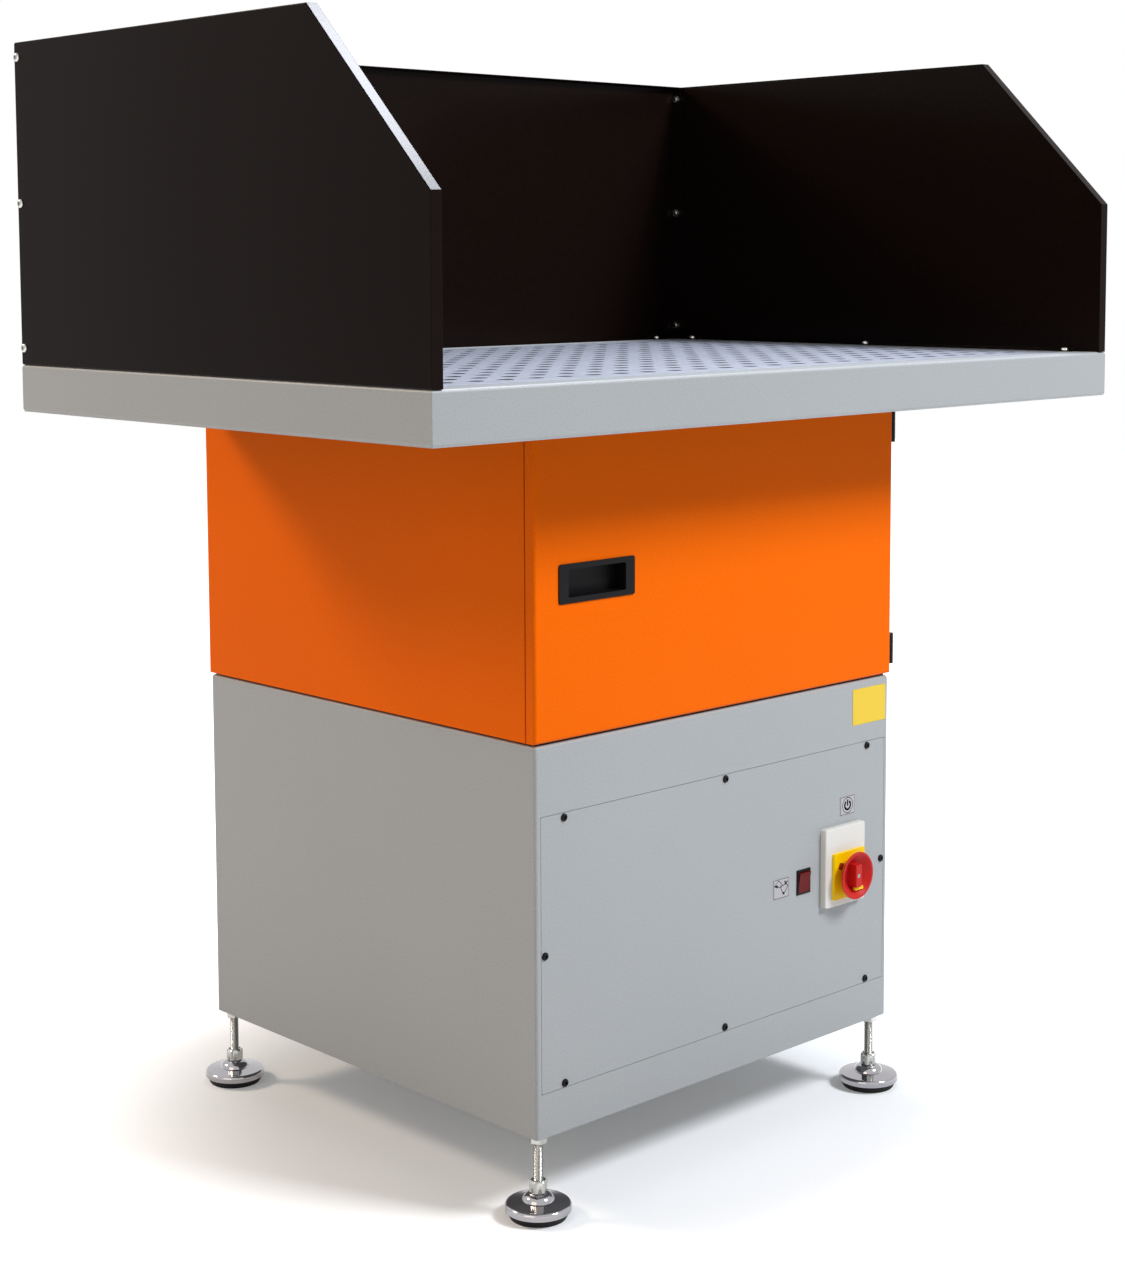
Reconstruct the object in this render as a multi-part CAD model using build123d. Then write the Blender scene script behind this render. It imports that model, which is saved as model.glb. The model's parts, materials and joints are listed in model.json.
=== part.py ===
"""Downdraft extraction table: a perforated work plate in a folded frame, splash panels on three
sides, a filter housing with a hinged door under it, and a fan cabinet on four levelling feet.

Millimetres. +Z is up and the floor is Z = 0. X runs along the front edge, and -Y is the side with
the door and the switch. The origin is the middle of the whole footprint, on the floor. The table
top is flush with the cabinets at the back, and the rear foot pads stand out behind it.
"""

import math
import os

from build123d import *

os.makedirs("parts", exist_ok=True)

# Table top
table_width = 1200.0
table_depth = 800.0
work_height = 1000.0
frame_height = 59.0
frame_sheet = 2.0
frame_flange = 40.0
frame_ledge = 20.0
frame_return = 30.0
frame_edge_radius = 4.0

# Perforated work plate: a folded tray, upside down, on the frame's ledge
plate_sheet = 3.0
plate_skirt = 18.0
plate_gap = 4.0
plate_edge_radius = 3.0
hole_diameter = 20.0
hole_pitch = 44.0
hole_border = 20.0

# Bars that carry the plate
bar_thickness = 5.0
bar_height = 30.0
bar_count = 4
bar_end_gap = 0.5

# Collecting pan and the spark baffle over its intake
pan_sheet = 2.0
pan_edge_gap = 0.3
intake_side_margin = 15.0
intake_front_margin = 55.0
intake_back_margin = 20.0
baffle_sheet = 2.0
baffle_clearance = 7.0
baffle_overhang = 20.0
baffle_leg_width = 16.0

# Splash panels
panel_height = 400.0
panel_thickness = 15.0
panel_sheet = 1.5
panel_chamfer = 200.0
panel_corner_radius = 3.0
panel_edge_radius = 1.0
liner_gap = 0.2
foot_flange = 15.0
foot_flange_setback = 38.0
panel_join_gap = 0.2

# Bolts through the rear corners, and screws that hold the panels down
bolt_radius = 3.0
bolt_hole_gap = 0.2
bolt_head_radius = 5.6
bolt_head_height = 3.3
bolt_end = 1.5
socket_flats = 4.0
socket_depth = 1.8
corner_bolt_from_top = 18.5
corner_bolt_from_bottom = 21.0
corner_bolt_from_back = 7.5
corner_nut_flats = 10.0
corner_nut_height = 5.0
base_screw_head_radius = 5.0
base_screw_head_height = 3.6
base_screw_length = 10.0
base_screw_front = 50.0
base_screw_back = 32.0
base_screw_side = 64.0
clinch_radius = 5.0
clinch_height = 6.0

# Cabinets
foot_height = 100.0
lower_height = 469.0
lower_edge_radius = 4.0
cabinet_sheet = 2.0
cabinet_seam = 3.0
upper_overlap = 2.0
upper_edge_radius = 4.0
housing_flange = 26.0
floor_opening_margin = 42.0
seam_inset = 5.0
seam_width = 34.0

# Door
door_depth = 15.0
door_sheet = 1.5
door_seam = 2.0
door_top_gap = 3.0
door_edge_radius = 4.0
door_liner_sheet = 1.0
door_liner_gap = 0.3
seal_width = 9.0
seal_inset = 4.0
seal_gap = 0.3

# Door handle, a recessed cup
handle_from_side = 38.0
handle_width = 124.0
handle_height = 46.5
handle_flange = 1.6
handle_corner_radius = 3.0
handle_recess_width = 94.0
handle_recess_height = 33.0
handle_recess_depth = 18.0
handle_wall = 2.0
handle_recess_radius = 2.0
handle_hole_gap = 0.3

# Door hinges, on the right
hinge_radius = 5.5
hinge_side_gap = 0.2
hinge_pin_radius = 2.5
hinge_pin_gap = 0.05
hinge_height = 40.0
hinge_knuckle_gap = 0.4
hinge_from_bottom = 32.0
hinge_from_top = 34.0
hinge_foot_width = 7.0
hinge_plate = 4.0
hinge_plate_length = 22.0
hinge_plate_gap = 1.5
hinge_arm_gap = 1.0
hinge_pin_head = 1.0

# Magnet catches, on the left edge of the housing's opening
magnet_width = 9.0
magnet_depth = 12.0
magnet_height = 44.0
magnet_gap = 0.3
magnet_window_gap = 0.2
magnet_from_end = 54.0

# Filters. The cabinets are as wide and as deep as the filter and the room beside it
filter_width = 590.0
filter_depth = 590.0
filter_side_room = 29.0
filter_depth_room = 60.0
filter_top_room = 57.0
filter_wall = 6.0
filter_gap = 0.3
filter_back_gap = 12.0
filter_seat_rise = 20.0
filter_seat_lip = 22.0
filter_seat_gap = 2.0
filter_lip = 14.0
pleat_count = 22
pleat_fold = 30.0
pleat_margin = 10.0
prefilter_height = 46.0
prefilter_wall = 3.0
prefilter_lip = 14.0
prefilter_bar_width = 4.0
prefilter_bar_count = 9

# Service panel and its screws
service_side_margin = 8.25
service_bottom_margin = 54.0
service_top_margin = 84.0
service_gap = 0.5
service_corner_radius = 1.5
service_flange = 13.0
service_flange_cover = 5.0
panel_screw_head_radius = 4.75
panel_screw_head_height = 2.6
panel_screw_radius = 2.5
panel_screw_length = 12.0
panel_screw_edge = 5.5
panel_screw_corner = 36.75
panel_screw_hole_gap = 0.2

# Main switch, placed from the cabinet's right side and the service panel's top
switch_from_side = 98.0
switch_from_top = 157.0
switch_width = 81.0
switch_height = 106.0
switch_depth = 9.0
switch_radius = 4.0
switch_wall = 3.0
switch_plate_right = 4.0
switch_plate_drop = 12.0
switch_plate_size = 62.0
switch_plate_thickness = 4.0
switch_plate_radius = 1.5
knob_radius = 31.5
knob_back_radius = 16.0
knob_depth = 13.6
knob_lip = 1.5
knob_rim = 2.6
knob_floor = 2.2
knob_gap = 0.4
grip_width = 12.0
grip_length = 30.0
grip_proud = 2.0
grip_edge_radius = 1.5
knob_screw_radius = 2.6
knob_screw_depth = 6.0
knob_screw_gap = 0.1
switch_shaft_radius = 4.0
switch_shaft_gap = 0.1
switch_body_size = 46.0
switch_body_depth = 42.0
switch_cutout_gap = 0.5
switch_shaft_reach = 20.0
switch_shaft_length = 15.0

# Padlock tab, seated in the knob's wall below the grip
tab_width = 16.0
tab_height = 4.0
tab_depth = 4.0
tab_right = 5.0
tab_from_grip = 1.0
tab_below_rim = 1.6
tab_gap = 0.1

# Rocker switch
rocker_from_side = 173.5
rocker_from_top = 166.5
rocker_bezel_width = 26.5
rocker_bezel_height = 33.0
rocker_bezel_proud = 2.0
rocker_bezel_radius = 1.2
rocker_body_depth = 22.0
rocker_wall = 2.4
rocker_cutout_gap = 0.2
rocker_side_gap = 0.35
rocker_tilt = 6.0
rocker_proud = 1.4
rocker_depth = 9.0
rocker_pin_radius = 1.5
rocker_pin_gap = 0.06
rocker_pin_length = 1.2

# Two pictogram plates and a bare yellow plate
sign_thickness = 0.6
sign_radius = 1.0
light_sign_from_side = 217.25
light_sign_from_top = 167.2
light_sign_width = 30.5
light_sign_height = 26.5
power_sign_from_side = 84.5
power_sign_from_top = 80.2
power_sign_width = 30.0
power_sign_height = 25.5
tag_from_side = 6.7
tag_from_top = 10.5
tag_width = 68.0
tag_height = 48.5
tag_thickness = 0.4

# Fan, its deck and its motor
deck_drop = 99.0
inlet_radius = 102.0
throat_radius = 88.0
inlet_length = 22.0
scroll_side_room = 35.0
scroll_sheet = 2.0
scroll_height = 132.0
scroll_eye_gap = 1.0
scroll_motor_hole = 34.0
wheel_tip_gap = 20.0
wheel_eye_radius = 92.0
wheel_sheet = 3.0
wheel_bottom_gap = 10.0
wheel_height = 96.0
wheel_collar = 8.0
blade_count = 9
blade_sweep = 55.0
blade_root_radius = 88.0
hub_radius = 28.0
hub_height = 36.0
shaft_radius = 12.0
shaft_gap = 0.06
shaft_depth = 45.0
motor_radius = 68.0
motor_fin = 6.0
motor_fin_thickness = 3.0
motor_fin_count = 20
motor_floor_gap = 56.0
motor_flange_radius = 82.0
motor_flange = 10.0
motor_cover_length = 26.0
terminal_box_width = 84.0
terminal_box_depth = 40.0
terminal_box_height = 90.0
grille_margin = 12.0
grille_sheet = 2.0
grille_slot_width = 6.0
grille_slot_count = 9
grille_edge = 8.0

# Mains cable gland
gland_y_from_back = 90.0
gland_rise = 50.0
gland_hex_flats = 24.0
gland_hex_height = 7.0
gland_dome_radius = 10.0
gland_dome_height = 11.0
gland_bore_radius = 4.5
gland_thread_radius = 9.5
gland_thread_length = 10.0
gland_hole_gap = 0.2

# Levelling feet
foot_inset = 16.0
pad_radius = 40.0
sole_thickness = 9.0
sole_inset = 1.2
sole_taper = 4.8
pad_rim_height = 9.0
pad_rim_radius = 4.0
pad_cone_rise = 3.0
pad_dome_radius = 19.5
pad_dome_rise = 8.0
pad_socket_radius = 8.0
pad_sheet = 2.5
ball_radius = 7.6
hex_flats = 19.0
hex_height = 16.0
hex_cup_radius = 7.5
hex_cup_depth = 3.0
spindle_radius = 6.0
spindle_gap = 0.08
spindle_above_floor = 32.0
lock_nut_height = 10.0
lock_nut_chamfer = 1.0
foot_boss = 28.0
foot_boss_height = 12.0

# Shapes given as shares of a size
dome_share = 0.8
blade_mid_share = 0.4
dome_bulge_share = 0.22
dome_height_share = 0.62
scroll_step_share = 0.182

# One length by which cutters run past what they cut
overrun = 5.0

# Places that follow from the sizes above
pad_overhang = pad_radius - foot_inset
table_front = -(table_depth + pad_overhang) / 2
table_back = table_front + table_depth
half_width = table_width / 2
frame_bottom = work_height - frame_height
flange_inner_x = half_width - frame_flange
flange_inner_front = table_front + frame_flange
flange_inner_back = table_back - frame_flange
ledge_inner_x = flange_inner_x - frame_ledge
ledge_inner_front = flange_inner_front + frame_ledge
ledge_inner_back = flange_inner_back - frame_ledge
ledge_z = work_height - plate_skirt
lower_width = filter_width + 2 * filter_side_room
lower_depth = filter_depth + filter_depth_room
lower_front = table_back - lower_depth
lower_top = foot_height + lower_height
lower_half = lower_width / 2
upper_half = lower_half + upper_overlap
upper_bottom = lower_top + cabinet_seam
upper_back = table_back + upper_overlap
door_front = lower_front - upper_overlap
door_back = door_front + door_depth
housing_front = door_back + door_seam
door_top = frame_bottom - door_top_gap
cabinet_middle_y = (lower_front + table_back) / 2
intake_half = filter_width / 2 - intake_side_margin
intake_front = housing_front + intake_front_margin
intake_back = ledge_inner_back - intake_back_margin
panel_top = work_height + panel_height
filter_seat_z = upper_bottom + filter_seat_rise
filter_height = frame_bottom - filter_top_room - prefilter_height - filter_seat_z
service_half = lower_half - service_side_margin
service_low = foot_height + service_bottom_margin
service_high = lower_top - service_top_margin
switch_x = lower_half - switch_from_side
switch_z = service_high - switch_from_top
knob_x = switch_x + switch_plate_right
knob_z = switch_z - switch_plate_drop
rocker_x = lower_half - rocker_from_side
rocker_z = service_high - rocker_from_top
deck_z = lower_top - deck_drop
scroll_reach = min(lower_half, lower_depth / 2) - cabinet_sheet - scroll_side_room - scroll_sheet
scroll_start_radius = scroll_reach / (1 + 4 * scroll_step_share)
scroll_step = scroll_start_radius * scroll_step_share
wheel_radius = scroll_start_radius - wheel_tip_gap
motor_top = deck_z - scroll_height
motor_body_top = motor_top - motor_flange
motor_bottom = foot_height + cabinet_sheet + motor_floor_gap
gland_z = foot_height + gland_rise


def block(x, y, z):
    """A cuboid between (low, high) limits along each axis."""
    size = Box(x[1] - x[0], y[1] - y[0], z[1] - z[0])
    return Pos((x[0] + x[1]) / 2, (y[0] + y[1]) / 2, (z[0] + z[1]) / 2) * size


def both(reach):
    """Limits that reach as far to each side of the middle."""
    return (-reach, reach)


def rod(radius, start, direction, length):
    """A cylinder that runs from a point along a direction."""
    return extrude(Plane(origin=start, z_dir=direction) * Circle(radius), length)


def hex_rod(flats, start, direction, length):
    """A hexagonal prism, sized across its flats."""
    outline = RegularPolygon(flats / 2, 6, major_radius=False)
    return extrude(Plane(origin=start, z_dir=direction) * outline, length)


def turned(points, x, y):
    """A solid of revolution about a vertical axis, from (radius, height) points in order."""
    outline = make_face(Polyline(*[(r, 0, z) for r, z in points], close=True))
    return Pos(x, y, 0) * revolve(outline, Axis.Z)


def frame_ring(outer_x, outer_y, inner_x, inner_y, z):
    """A flat rectangular ring."""
    return block(outer_x, outer_y, z) - block(inner_x, inner_y, (z[0] - overrun, z[1] + overrun))


def round_edges(solid, edges, radius):
    """Round the edges picked, by one radius."""
    return fillet(edges, radius) if len(edges) else solid


def save(name, *solids):
    """Write one node, which may hold several separate solids."""
    pieces = [piece for solid in solids for piece in solid.solids()]
    shape = pieces[0] if len(pieces) == 1 else Compound(pieces)
    export_step(shape, f"parts/{name}.step")


def inside(limits, inset):
    """The same limits, drawn in by one amount at both ends."""
    return (limits[0] + inset, limits[1] - inset)


def around(middle, size):
    """Limits of a size about its middle."""
    return (middle - size / 2, middle + size / 2)


# Table top


def base_screw_places():
    """Where screws go down through the panels' foot flanges into the frame."""
    side_x = half_width - panel_thickness - foot_flange / 2
    rear = table_back - panel_thickness - base_screw_back
    rows = (table_front + base_screw_front, (table_front + table_back) / 2, rear)
    places = [(side * side_x, y) for side in (-1, 1) for y in rows]
    back_y = table_back - panel_thickness / 2
    back_x = half_width - base_screw_side
    return places + [(x, back_y) for x in (-back_x, 0, back_x)]


def make_top_frame():
    """One folded frame: wall, top flange, inner wall, ledge for the plate and bottom return."""
    x, y = both(half_width), (table_front, table_back)
    body = block(x, y, (frame_bottom, work_height))
    body = round_edges(body, body.edges().group_by(Axis.Z)[-1], frame_edge_radius)
    body = round_edges(body, body.edges().group_by(Axis.Z)[0], frame_edge_radius)
    hollow_z = (frame_bottom - overrun, work_height - frame_sheet)
    hollow = block(inside(x, frame_sheet), inside(y, frame_sheet), hollow_z)
    rim = frame_ring(
        inside(x, frame_sheet / 2),
        inside(y, frame_sheet / 2),
        both(half_width - frame_return),
        (table_front + frame_return, table_back - frame_return),
        (frame_bottom, frame_bottom + frame_sheet),
    )
    mouth_y = (flange_inner_front, flange_inner_back)
    mouth = block(both(flange_inner_x), mouth_y, (frame_bottom, work_height + overrun))
    inner_wall = frame_ring(
        both(flange_inner_x + frame_sheet),
        inside(mouth_y, -frame_sheet),
        both(flange_inner_x),
        mouth_y,
        (ledge_z - frame_sheet, work_height - frame_sheet / 2),
    )
    ledge = frame_ring(
        both(flange_inner_x + frame_sheet / 2),
        inside(mouth_y, -frame_sheet / 2),
        both(ledge_inner_x),
        (ledge_inner_front, ledge_inner_back),
        (ledge_z - frame_sheet, ledge_z),
    )
    frame = (body - hollow - mouth) + rim + inner_wall + ledge
    for px, py in base_screw_places():
        top = (px, py, work_height)
        down = (0, 0, -1)
        frame += rod(clinch_radius, (px, py, work_height - frame_sheet), down, clinch_height)
        frame -= rod(bolt_radius + bolt_hole_gap, top, down, frame_sheet + clinch_height + overrun)
    save("top_frame", frame)


def plate_limits():
    """The plate's outline inside the frame's flange."""
    x = both(flange_inner_x - plate_gap)
    return x, (flange_inner_front + plate_gap, flange_inner_back - plate_gap)


def make_work_plate():
    """A tray turned upside down, with a square pattern of round holes."""
    x, y = plate_limits()
    body = block(x, y, (ledge_z, work_height))
    body = round_edges(body, body.edges().group_by(Axis.Z)[-1], plate_edge_radius)
    under = (ledge_z - overrun, work_height - plate_sheet)
    plate = body - block(inside(x, plate_sheet), inside(y, plate_sheet), under)
    free_x = x[1] - x[0] - 2 * (hole_border + plate_sheet) - hole_diameter
    free_y = y[1] - y[0] - 2 * (hole_border + plate_sheet) - hole_diameter
    columns = int(free_x // hole_pitch) + 1
    rows = int(free_y // hole_pitch) + 1
    middle = Plane(origin=((x[0] + x[1]) / 2, (y[0] + y[1]) / 2, work_height + overrun))
    grid = GridLocations(hole_pitch, hole_pitch, columns, rows)
    holes = Sketch() + [place * Circle(hole_diameter / 2) for place in grid]
    plate -= extrude(middle * holes, -(plate_sheet + 2 * overrun))
    save("work_plate", plate)


def make_support_bars():
    """Flat bars on edge from front to back, notched onto the ledge, under the plate."""
    x, y = plate_limits()
    top = work_height - plate_sheet
    seat = (y[0] + plate_sheet + bar_end_gap, y[1] - plate_sheet - bar_end_gap)
    hang = (ledge_inner_front + bar_end_gap, ledge_inner_back - bar_end_gap)
    spacing = (x[1] - x[0]) / (bar_count + 1)
    bars = []
    for index in range(bar_count):
        across = x[0] + spacing * (index + 1)
        width = around(across, bar_thickness)
        bars.append(block(width, seat, (ledge_z, top)) + block(width, hang, (top - bar_height, top)))
    save("plate_support_bars", *bars)


def make_collecting_pan():
    """The flat floor under the plate, with the intake to the filter housing."""
    x = both(half_width - frame_return - pan_edge_gap)
    y = (table_front + frame_return + pan_edge_gap, table_back - frame_return - pan_edge_gap)
    floor = block(x, y, (frame_bottom, frame_bottom + pan_sheet))
    hole = block(both(intake_half), (intake_front, intake_back), (frame_bottom - overrun, work_height))
    save("collecting_pan", floor - hole)


def make_spark_baffle():
    """A plate over the intake on four legs, so that sparks can't fall straight in."""
    x = both(intake_half + baffle_overhang)
    y = (intake_front - baffle_overhang, intake_back + baffle_overhang - pan_sheet)
    floor = frame_bottom + pan_sheet
    top = work_height - plate_sheet - bar_height - baffle_clearance
    under = top - baffle_sheet
    baffle = block(x, y, (under, top))
    for leg_x in (x[0], x[1] - baffle_sheet):
        for leg_y in (y[0], y[1] - baffle_leg_width):
            leg_sides = (leg_x, leg_x + baffle_sheet)
            baffle += block(leg_sides, (leg_y, leg_y + baffle_leg_width), (floor, under))
    save("spark_baffle", baffle)


# Splash panels


def side_outline(inset):
    """The side panel's outline seen from the right, as (y, z) points, drawn in by an inset."""
    slope = inset * math.tan(math.radians(45) / 2)
    front, back = table_front + inset, table_back - inset
    low, high = work_height + inset, panel_top - inset
    step_z = panel_top - panel_chamfer - slope
    step_y = table_front + panel_chamfer + slope
    return [(front, low), (front, step_z), (step_y, high), (back, high), (back, low)]


def side_plate(inset, x):
    """The side outline as a plate between two X limits."""
    points = [(x[0], y, z) for y, z in side_outline(inset)]
    face = make_face(Polyline(*points, close=True))
    return extrude(face, x[1] - x[0], dir=(1, 0, 0))


def corner_bolt_heights():
    """Heights of the bolts that join side and back panels."""
    low = work_height + corner_bolt_from_bottom
    high = panel_top - corner_bolt_from_top
    return (low, (low + high) / 2, high)


def corner_bolt_holes(side):
    """Cutters for the bolts through one rear corner."""
    y = table_back - corner_bolt_from_back
    start = side * (half_width + overrun)
    reach = panel_thickness + panel_sheet + 2 * overrun
    radius = bolt_radius + bolt_hole_gap
    return [rod(radius, (start, y, z), (-side, 0, 0), reach) for z in corner_bolt_heights()]


def base_screw_holes():
    """Cutters for the screws through the panels' foot flanges."""
    low = work_height - overrun
    radius = bolt_radius + bolt_hole_gap
    return [rod(radius, (x, y, low), (0, 0, 1), 2 * overrun + panel_sheet) for x, y in base_screw_places()]


def side_limits(side, outer, inner):
    """X limits at a side, from distances in from its outer face."""
    ends = sorted((side * (half_width - outer), side * (half_width - inner)))
    return (ends[0], ends[1])


def make_side_skins():
    """The outer skins of both side panels: a flat face with a flange turned in all round."""
    skins = []
    for side in (-1, 1):
        body = side_plate(0, side_limits(side, 0, panel_thickness))
        corners = body.edges().filter_by(Axis.X).sort_by(Axis.Y)[-2:]
        body = round_edges(body, corners, panel_corner_radius)
        outer_face = body.faces().sort_by(Axis.X)[-1 if side > 0 else 0]
        body = round_edges(body, outer_face.edges(), panel_edge_radius)
        skin = body - side_plate(panel_sheet, side_limits(side, panel_sheet, panel_thickness + overrun))
        for hole in corner_bolt_holes(side):
            skin -= hole
        skins.append(skin)
    save("side_panel_skins", *skins)


def make_side_liners():
    """The inner faces of both side panels, each with the foot flange that is screwed down."""
    liners = []
    for side in (-1, 1):
        inset = panel_sheet + liner_gap
        liner = side_plate(inset, side_limits(side, panel_thickness - panel_sheet, panel_thickness))
        foot_y = (table_front + foot_flange_setback, table_back - panel_thickness - panel_join_gap)
        foot_x = side_limits(side, panel_thickness, panel_thickness + foot_flange)
        foot_z = (work_height, work_height + panel_sheet)
        neck_x = side_limits(side, panel_thickness - panel_sheet, panel_thickness + panel_sheet)
        neck = block(neck_x, foot_y, (work_height + inset, work_height + inset + panel_sheet))
        riser_x = side_limits(side, panel_thickness, panel_thickness + panel_sheet)
        riser = block(riser_x, foot_y, (work_height, work_height + inset + panel_sheet))
        liner = liner + neck + riser + block(foot_x, foot_y, foot_z)
        for hole in corner_bolt_holes(side):
            liner -= hole
        for hole in base_screw_holes():
            liner -= hole
        liners.append(liner)
    save("side_panel_liners", *liners)


def make_back_panel():
    """The back panel: a tray open to the front, whose side flanges are bolted to the side panels."""
    x = both(half_width - panel_thickness - panel_join_gap)
    y = (table_back - panel_thickness, table_back)
    z = (work_height, panel_top)
    panel = block(x, y, z)
    back_face = panel.faces().sort_by(Axis.Y)[-1]
    panel = round_edges(panel, back_face.edges(), panel_edge_radius)
    panel -= block(inside(x, panel_sheet), (y[0] - overrun, y[1] - panel_sheet), inside(z, panel_sheet))
    for side in (-1, 1):
        for hole in corner_bolt_holes(side):
            panel -= hole
    for hole in base_screw_holes():
        panel -= hole
    save("back_panel", panel)


def domed(radius, height, start, direction):
    """A low domed head: a cylinder whose free edge is rounded."""
    head = rod(radius, start, direction, height)
    tip = Vector(*start) + Vector(*direction) * height
    rims = head.edges().filter_by(GeomType.CIRCLE).sort_by_distance(tip)
    return fillet(rims[0], height * dome_share)


def button_head(radius, height, start, direction):
    """A domed screw head with a hexagon socket."""
    tip = Vector(*start) + Vector(*direction) * height
    bottom = tip - Vector(*direction) * socket_depth
    return domed(radius, height, start, direction) - hex_rod(socket_flats, bottom, direction, height)


def make_corner_bolts():
    """Six button-head bolts from outside, and the nuts on their inner ends."""
    y = table_back - corner_bolt_from_back
    inner = half_width - panel_thickness - panel_join_gap - panel_sheet
    bolts, nuts = [], []
    for side in (-1, 1):
        for z in corner_bolt_heights():
            face = (side * half_width, y, z)
            nut_face = (side * inner, y, z)
            inwards = (-side, 0, 0)
            head = button_head(bolt_head_radius, bolt_head_height, face, (side, 0, 0))
            shank = rod(bolt_radius, face, inwards, half_width - inner + corner_nut_height + bolt_end)
            bolts.append(head + shank)
            nut = hex_rod(corner_nut_flats, nut_face, inwards, corner_nut_height)
            nuts.append(nut - rod(bolt_radius, nut_face, inwards, corner_nut_height + overrun))
    save("corner_bolts", *bolts)
    save("corner_nuts", *nuts)


def make_base_screws():
    """Button-head screws that hold the three panels down on the frame."""
    screws = []
    for px, py in base_screw_places():
        seat = (px, py, work_height + panel_sheet)
        head = button_head(base_screw_head_radius, base_screw_head_height, seat, (0, 0, 1))
        screws.append(head + rod(bolt_radius, seat, (0, 0, -1), base_screw_length))
    save("base_screws", *screws)


# Filter housing


def make_filter_housing():
    """The upper cabinet: an open-fronted box with flanges round the door opening."""
    x, y, z = both(upper_half), (housing_front, upper_back), (upper_bottom, frame_bottom)
    body = block(x, y, z)
    uprights = body.edges().filter_by(Axis.Z).sort_by(Axis.Y)[-2:]
    body = round_edges(body, uprights, upper_edge_radius)
    room = block(inside(x, cabinet_sheet), inside(y, cabinet_sheet), inside(z, cabinet_sheet))
    mouth_y = (y[0] - overrun, y[0] + 2 * cabinet_sheet)
    mouth = block(inside(x, housing_flange), mouth_y, inside(z, filter_seat_rise))
    intake_z = (z[1] - 2 * cabinet_sheet, z[1] + overrun)
    intake = block(both(intake_half), (intake_front, intake_back), intake_z)
    floor_hole = block(*floor_opening(), (z[0] - overrun, z[0] + 2 * cabinet_sheet))
    housing = body - room - mouth - intake - floor_hole
    for middle in magnet_middles():
        housing -= magnet_block(middle, magnet_window_gap)
    save("filter_housing", housing)


def floor_opening():
    """Limits of the opening between the two cabinets, as X and Y pairs."""
    x = both(lower_half - floor_opening_margin)
    return x, (lower_front + floor_opening_margin, table_back - floor_opening_margin)


def filter_place():
    """Limits of the main filter along X and Y, and the heights of its bottom and its top."""
    back = upper_back - cabinet_sheet - filter_back_gap
    top = filter_seat_z + filter_height
    return both(filter_width / 2), (back - filter_depth, back), filter_seat_z, top


def make_filter_seat():
    """The shelf with a large opening that the main filter is sealed on."""
    x, y, seat, _ = filter_place()
    wall = upper_half - cabinet_sheet - filter_seat_gap
    outer_y = (housing_front + cabinet_sheet, upper_back - cabinet_sheet)
    shelf_z = (seat - cabinet_sheet, seat)
    shelf = frame_ring(both(wall), outer_y, inside(x, filter_seat_lip), inside(y, filter_seat_lip), shelf_z)
    foot_z = (upper_bottom + cabinet_sheet, seat)
    for foot_x in ((-wall, -wall + cabinet_sheet), (wall - cabinet_sheet, wall)):
        shelf += block(foot_x, outer_y, foot_z)
    save("filter_seat", shelf)


def make_main_filter():
    """A cassette filter: a square frame with folded media in it."""
    x, y, bottom, top = filter_place()
    wall = frame_ring(x, y, inside(x, filter_wall), inside(y, filter_wall), (bottom, top))
    lip_outer = (inside(x, filter_wall / 2), inside(y, filter_wall / 2))
    lip_inner = (inside(x, filter_lip), inside(y, filter_lip))
    wall += frame_ring(*lip_outer, *lip_inner, (bottom, bottom + filter_wall))
    save("main_filter_frame", wall)
    media_x = inside(x, filter_wall + filter_gap)
    media_y = inside(y, filter_wall + filter_gap)
    levels = (bottom + filter_wall, top - pleat_margin - pleat_fold)
    half_pitch = (media_x[1] - media_x[0]) / (2 * pleat_count)
    crests = [(media_x[0] + half_pitch * fold, levels[fold % 2]) for fold in range(2 * pleat_count + 1)]
    lower = [(across, media_y[0], height) for across, height in crests]
    upper = [(across, media_y[0], height + pleat_fold) for across, height in crests]
    outline = make_face(Polyline(*upper, *reversed(lower), close=True))
    save("main_filter_pleats", extrude(outline, media_y[1] - media_y[0], dir=(0, 1, 0)))


def make_prefilter():
    """A shallow metal pre-filter on top of the main one, with bars above and below its mesh."""
    x, y, _, low = filter_place()
    z = (low, low + prefilter_height)
    inner = (inside(x, prefilter_wall), inside(y, prefilter_wall))
    seam = (inside(x, prefilter_wall / 2), inside(y, prefilter_wall / 2))
    lip = (inside(x, prefilter_lip), inside(y, prefilter_lip))
    frame = frame_ring(x, y, *inner, z)
    spacing = (x[1] - x[0] - 2 * prefilter_lip) / (prefilter_bar_count + 1)
    for level in ((z[0], z[0] + prefilter_wall), (z[1] - prefilter_wall, z[1])):
        frame += frame_ring(*seam, *lip, level)
        for index in range(prefilter_bar_count):
            across = x[0] + prefilter_lip + spacing * (index + 1)
            frame += block(around(across, prefilter_bar_width), inside(y, prefilter_lip / 2), level)
    save("prefilter_frame", frame)
    mesh_edge = prefilter_wall + filter_gap
    save("prefilter_mesh", block(inside(x, mesh_edge), inside(y, mesh_edge), inside(z, prefilter_wall)))


# Door


def door_limits():
    """The door skin's outer limits."""
    return both(upper_half), (door_front, door_back), (upper_bottom, door_top)


def handle_place():
    """The middle of the handle along X and Z: near the door's left edge, half way up."""
    return handle_from_side + handle_width / 2 - upper_half, (upper_bottom + door_top) / 2


def recess_limits(grow):
    """X and Z limits of the handle's recess, let out by an amount."""
    x, z = handle_place()
    return inside(around(x, handle_recess_width), -grow), inside(around(z, handle_recess_height), -grow)


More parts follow.
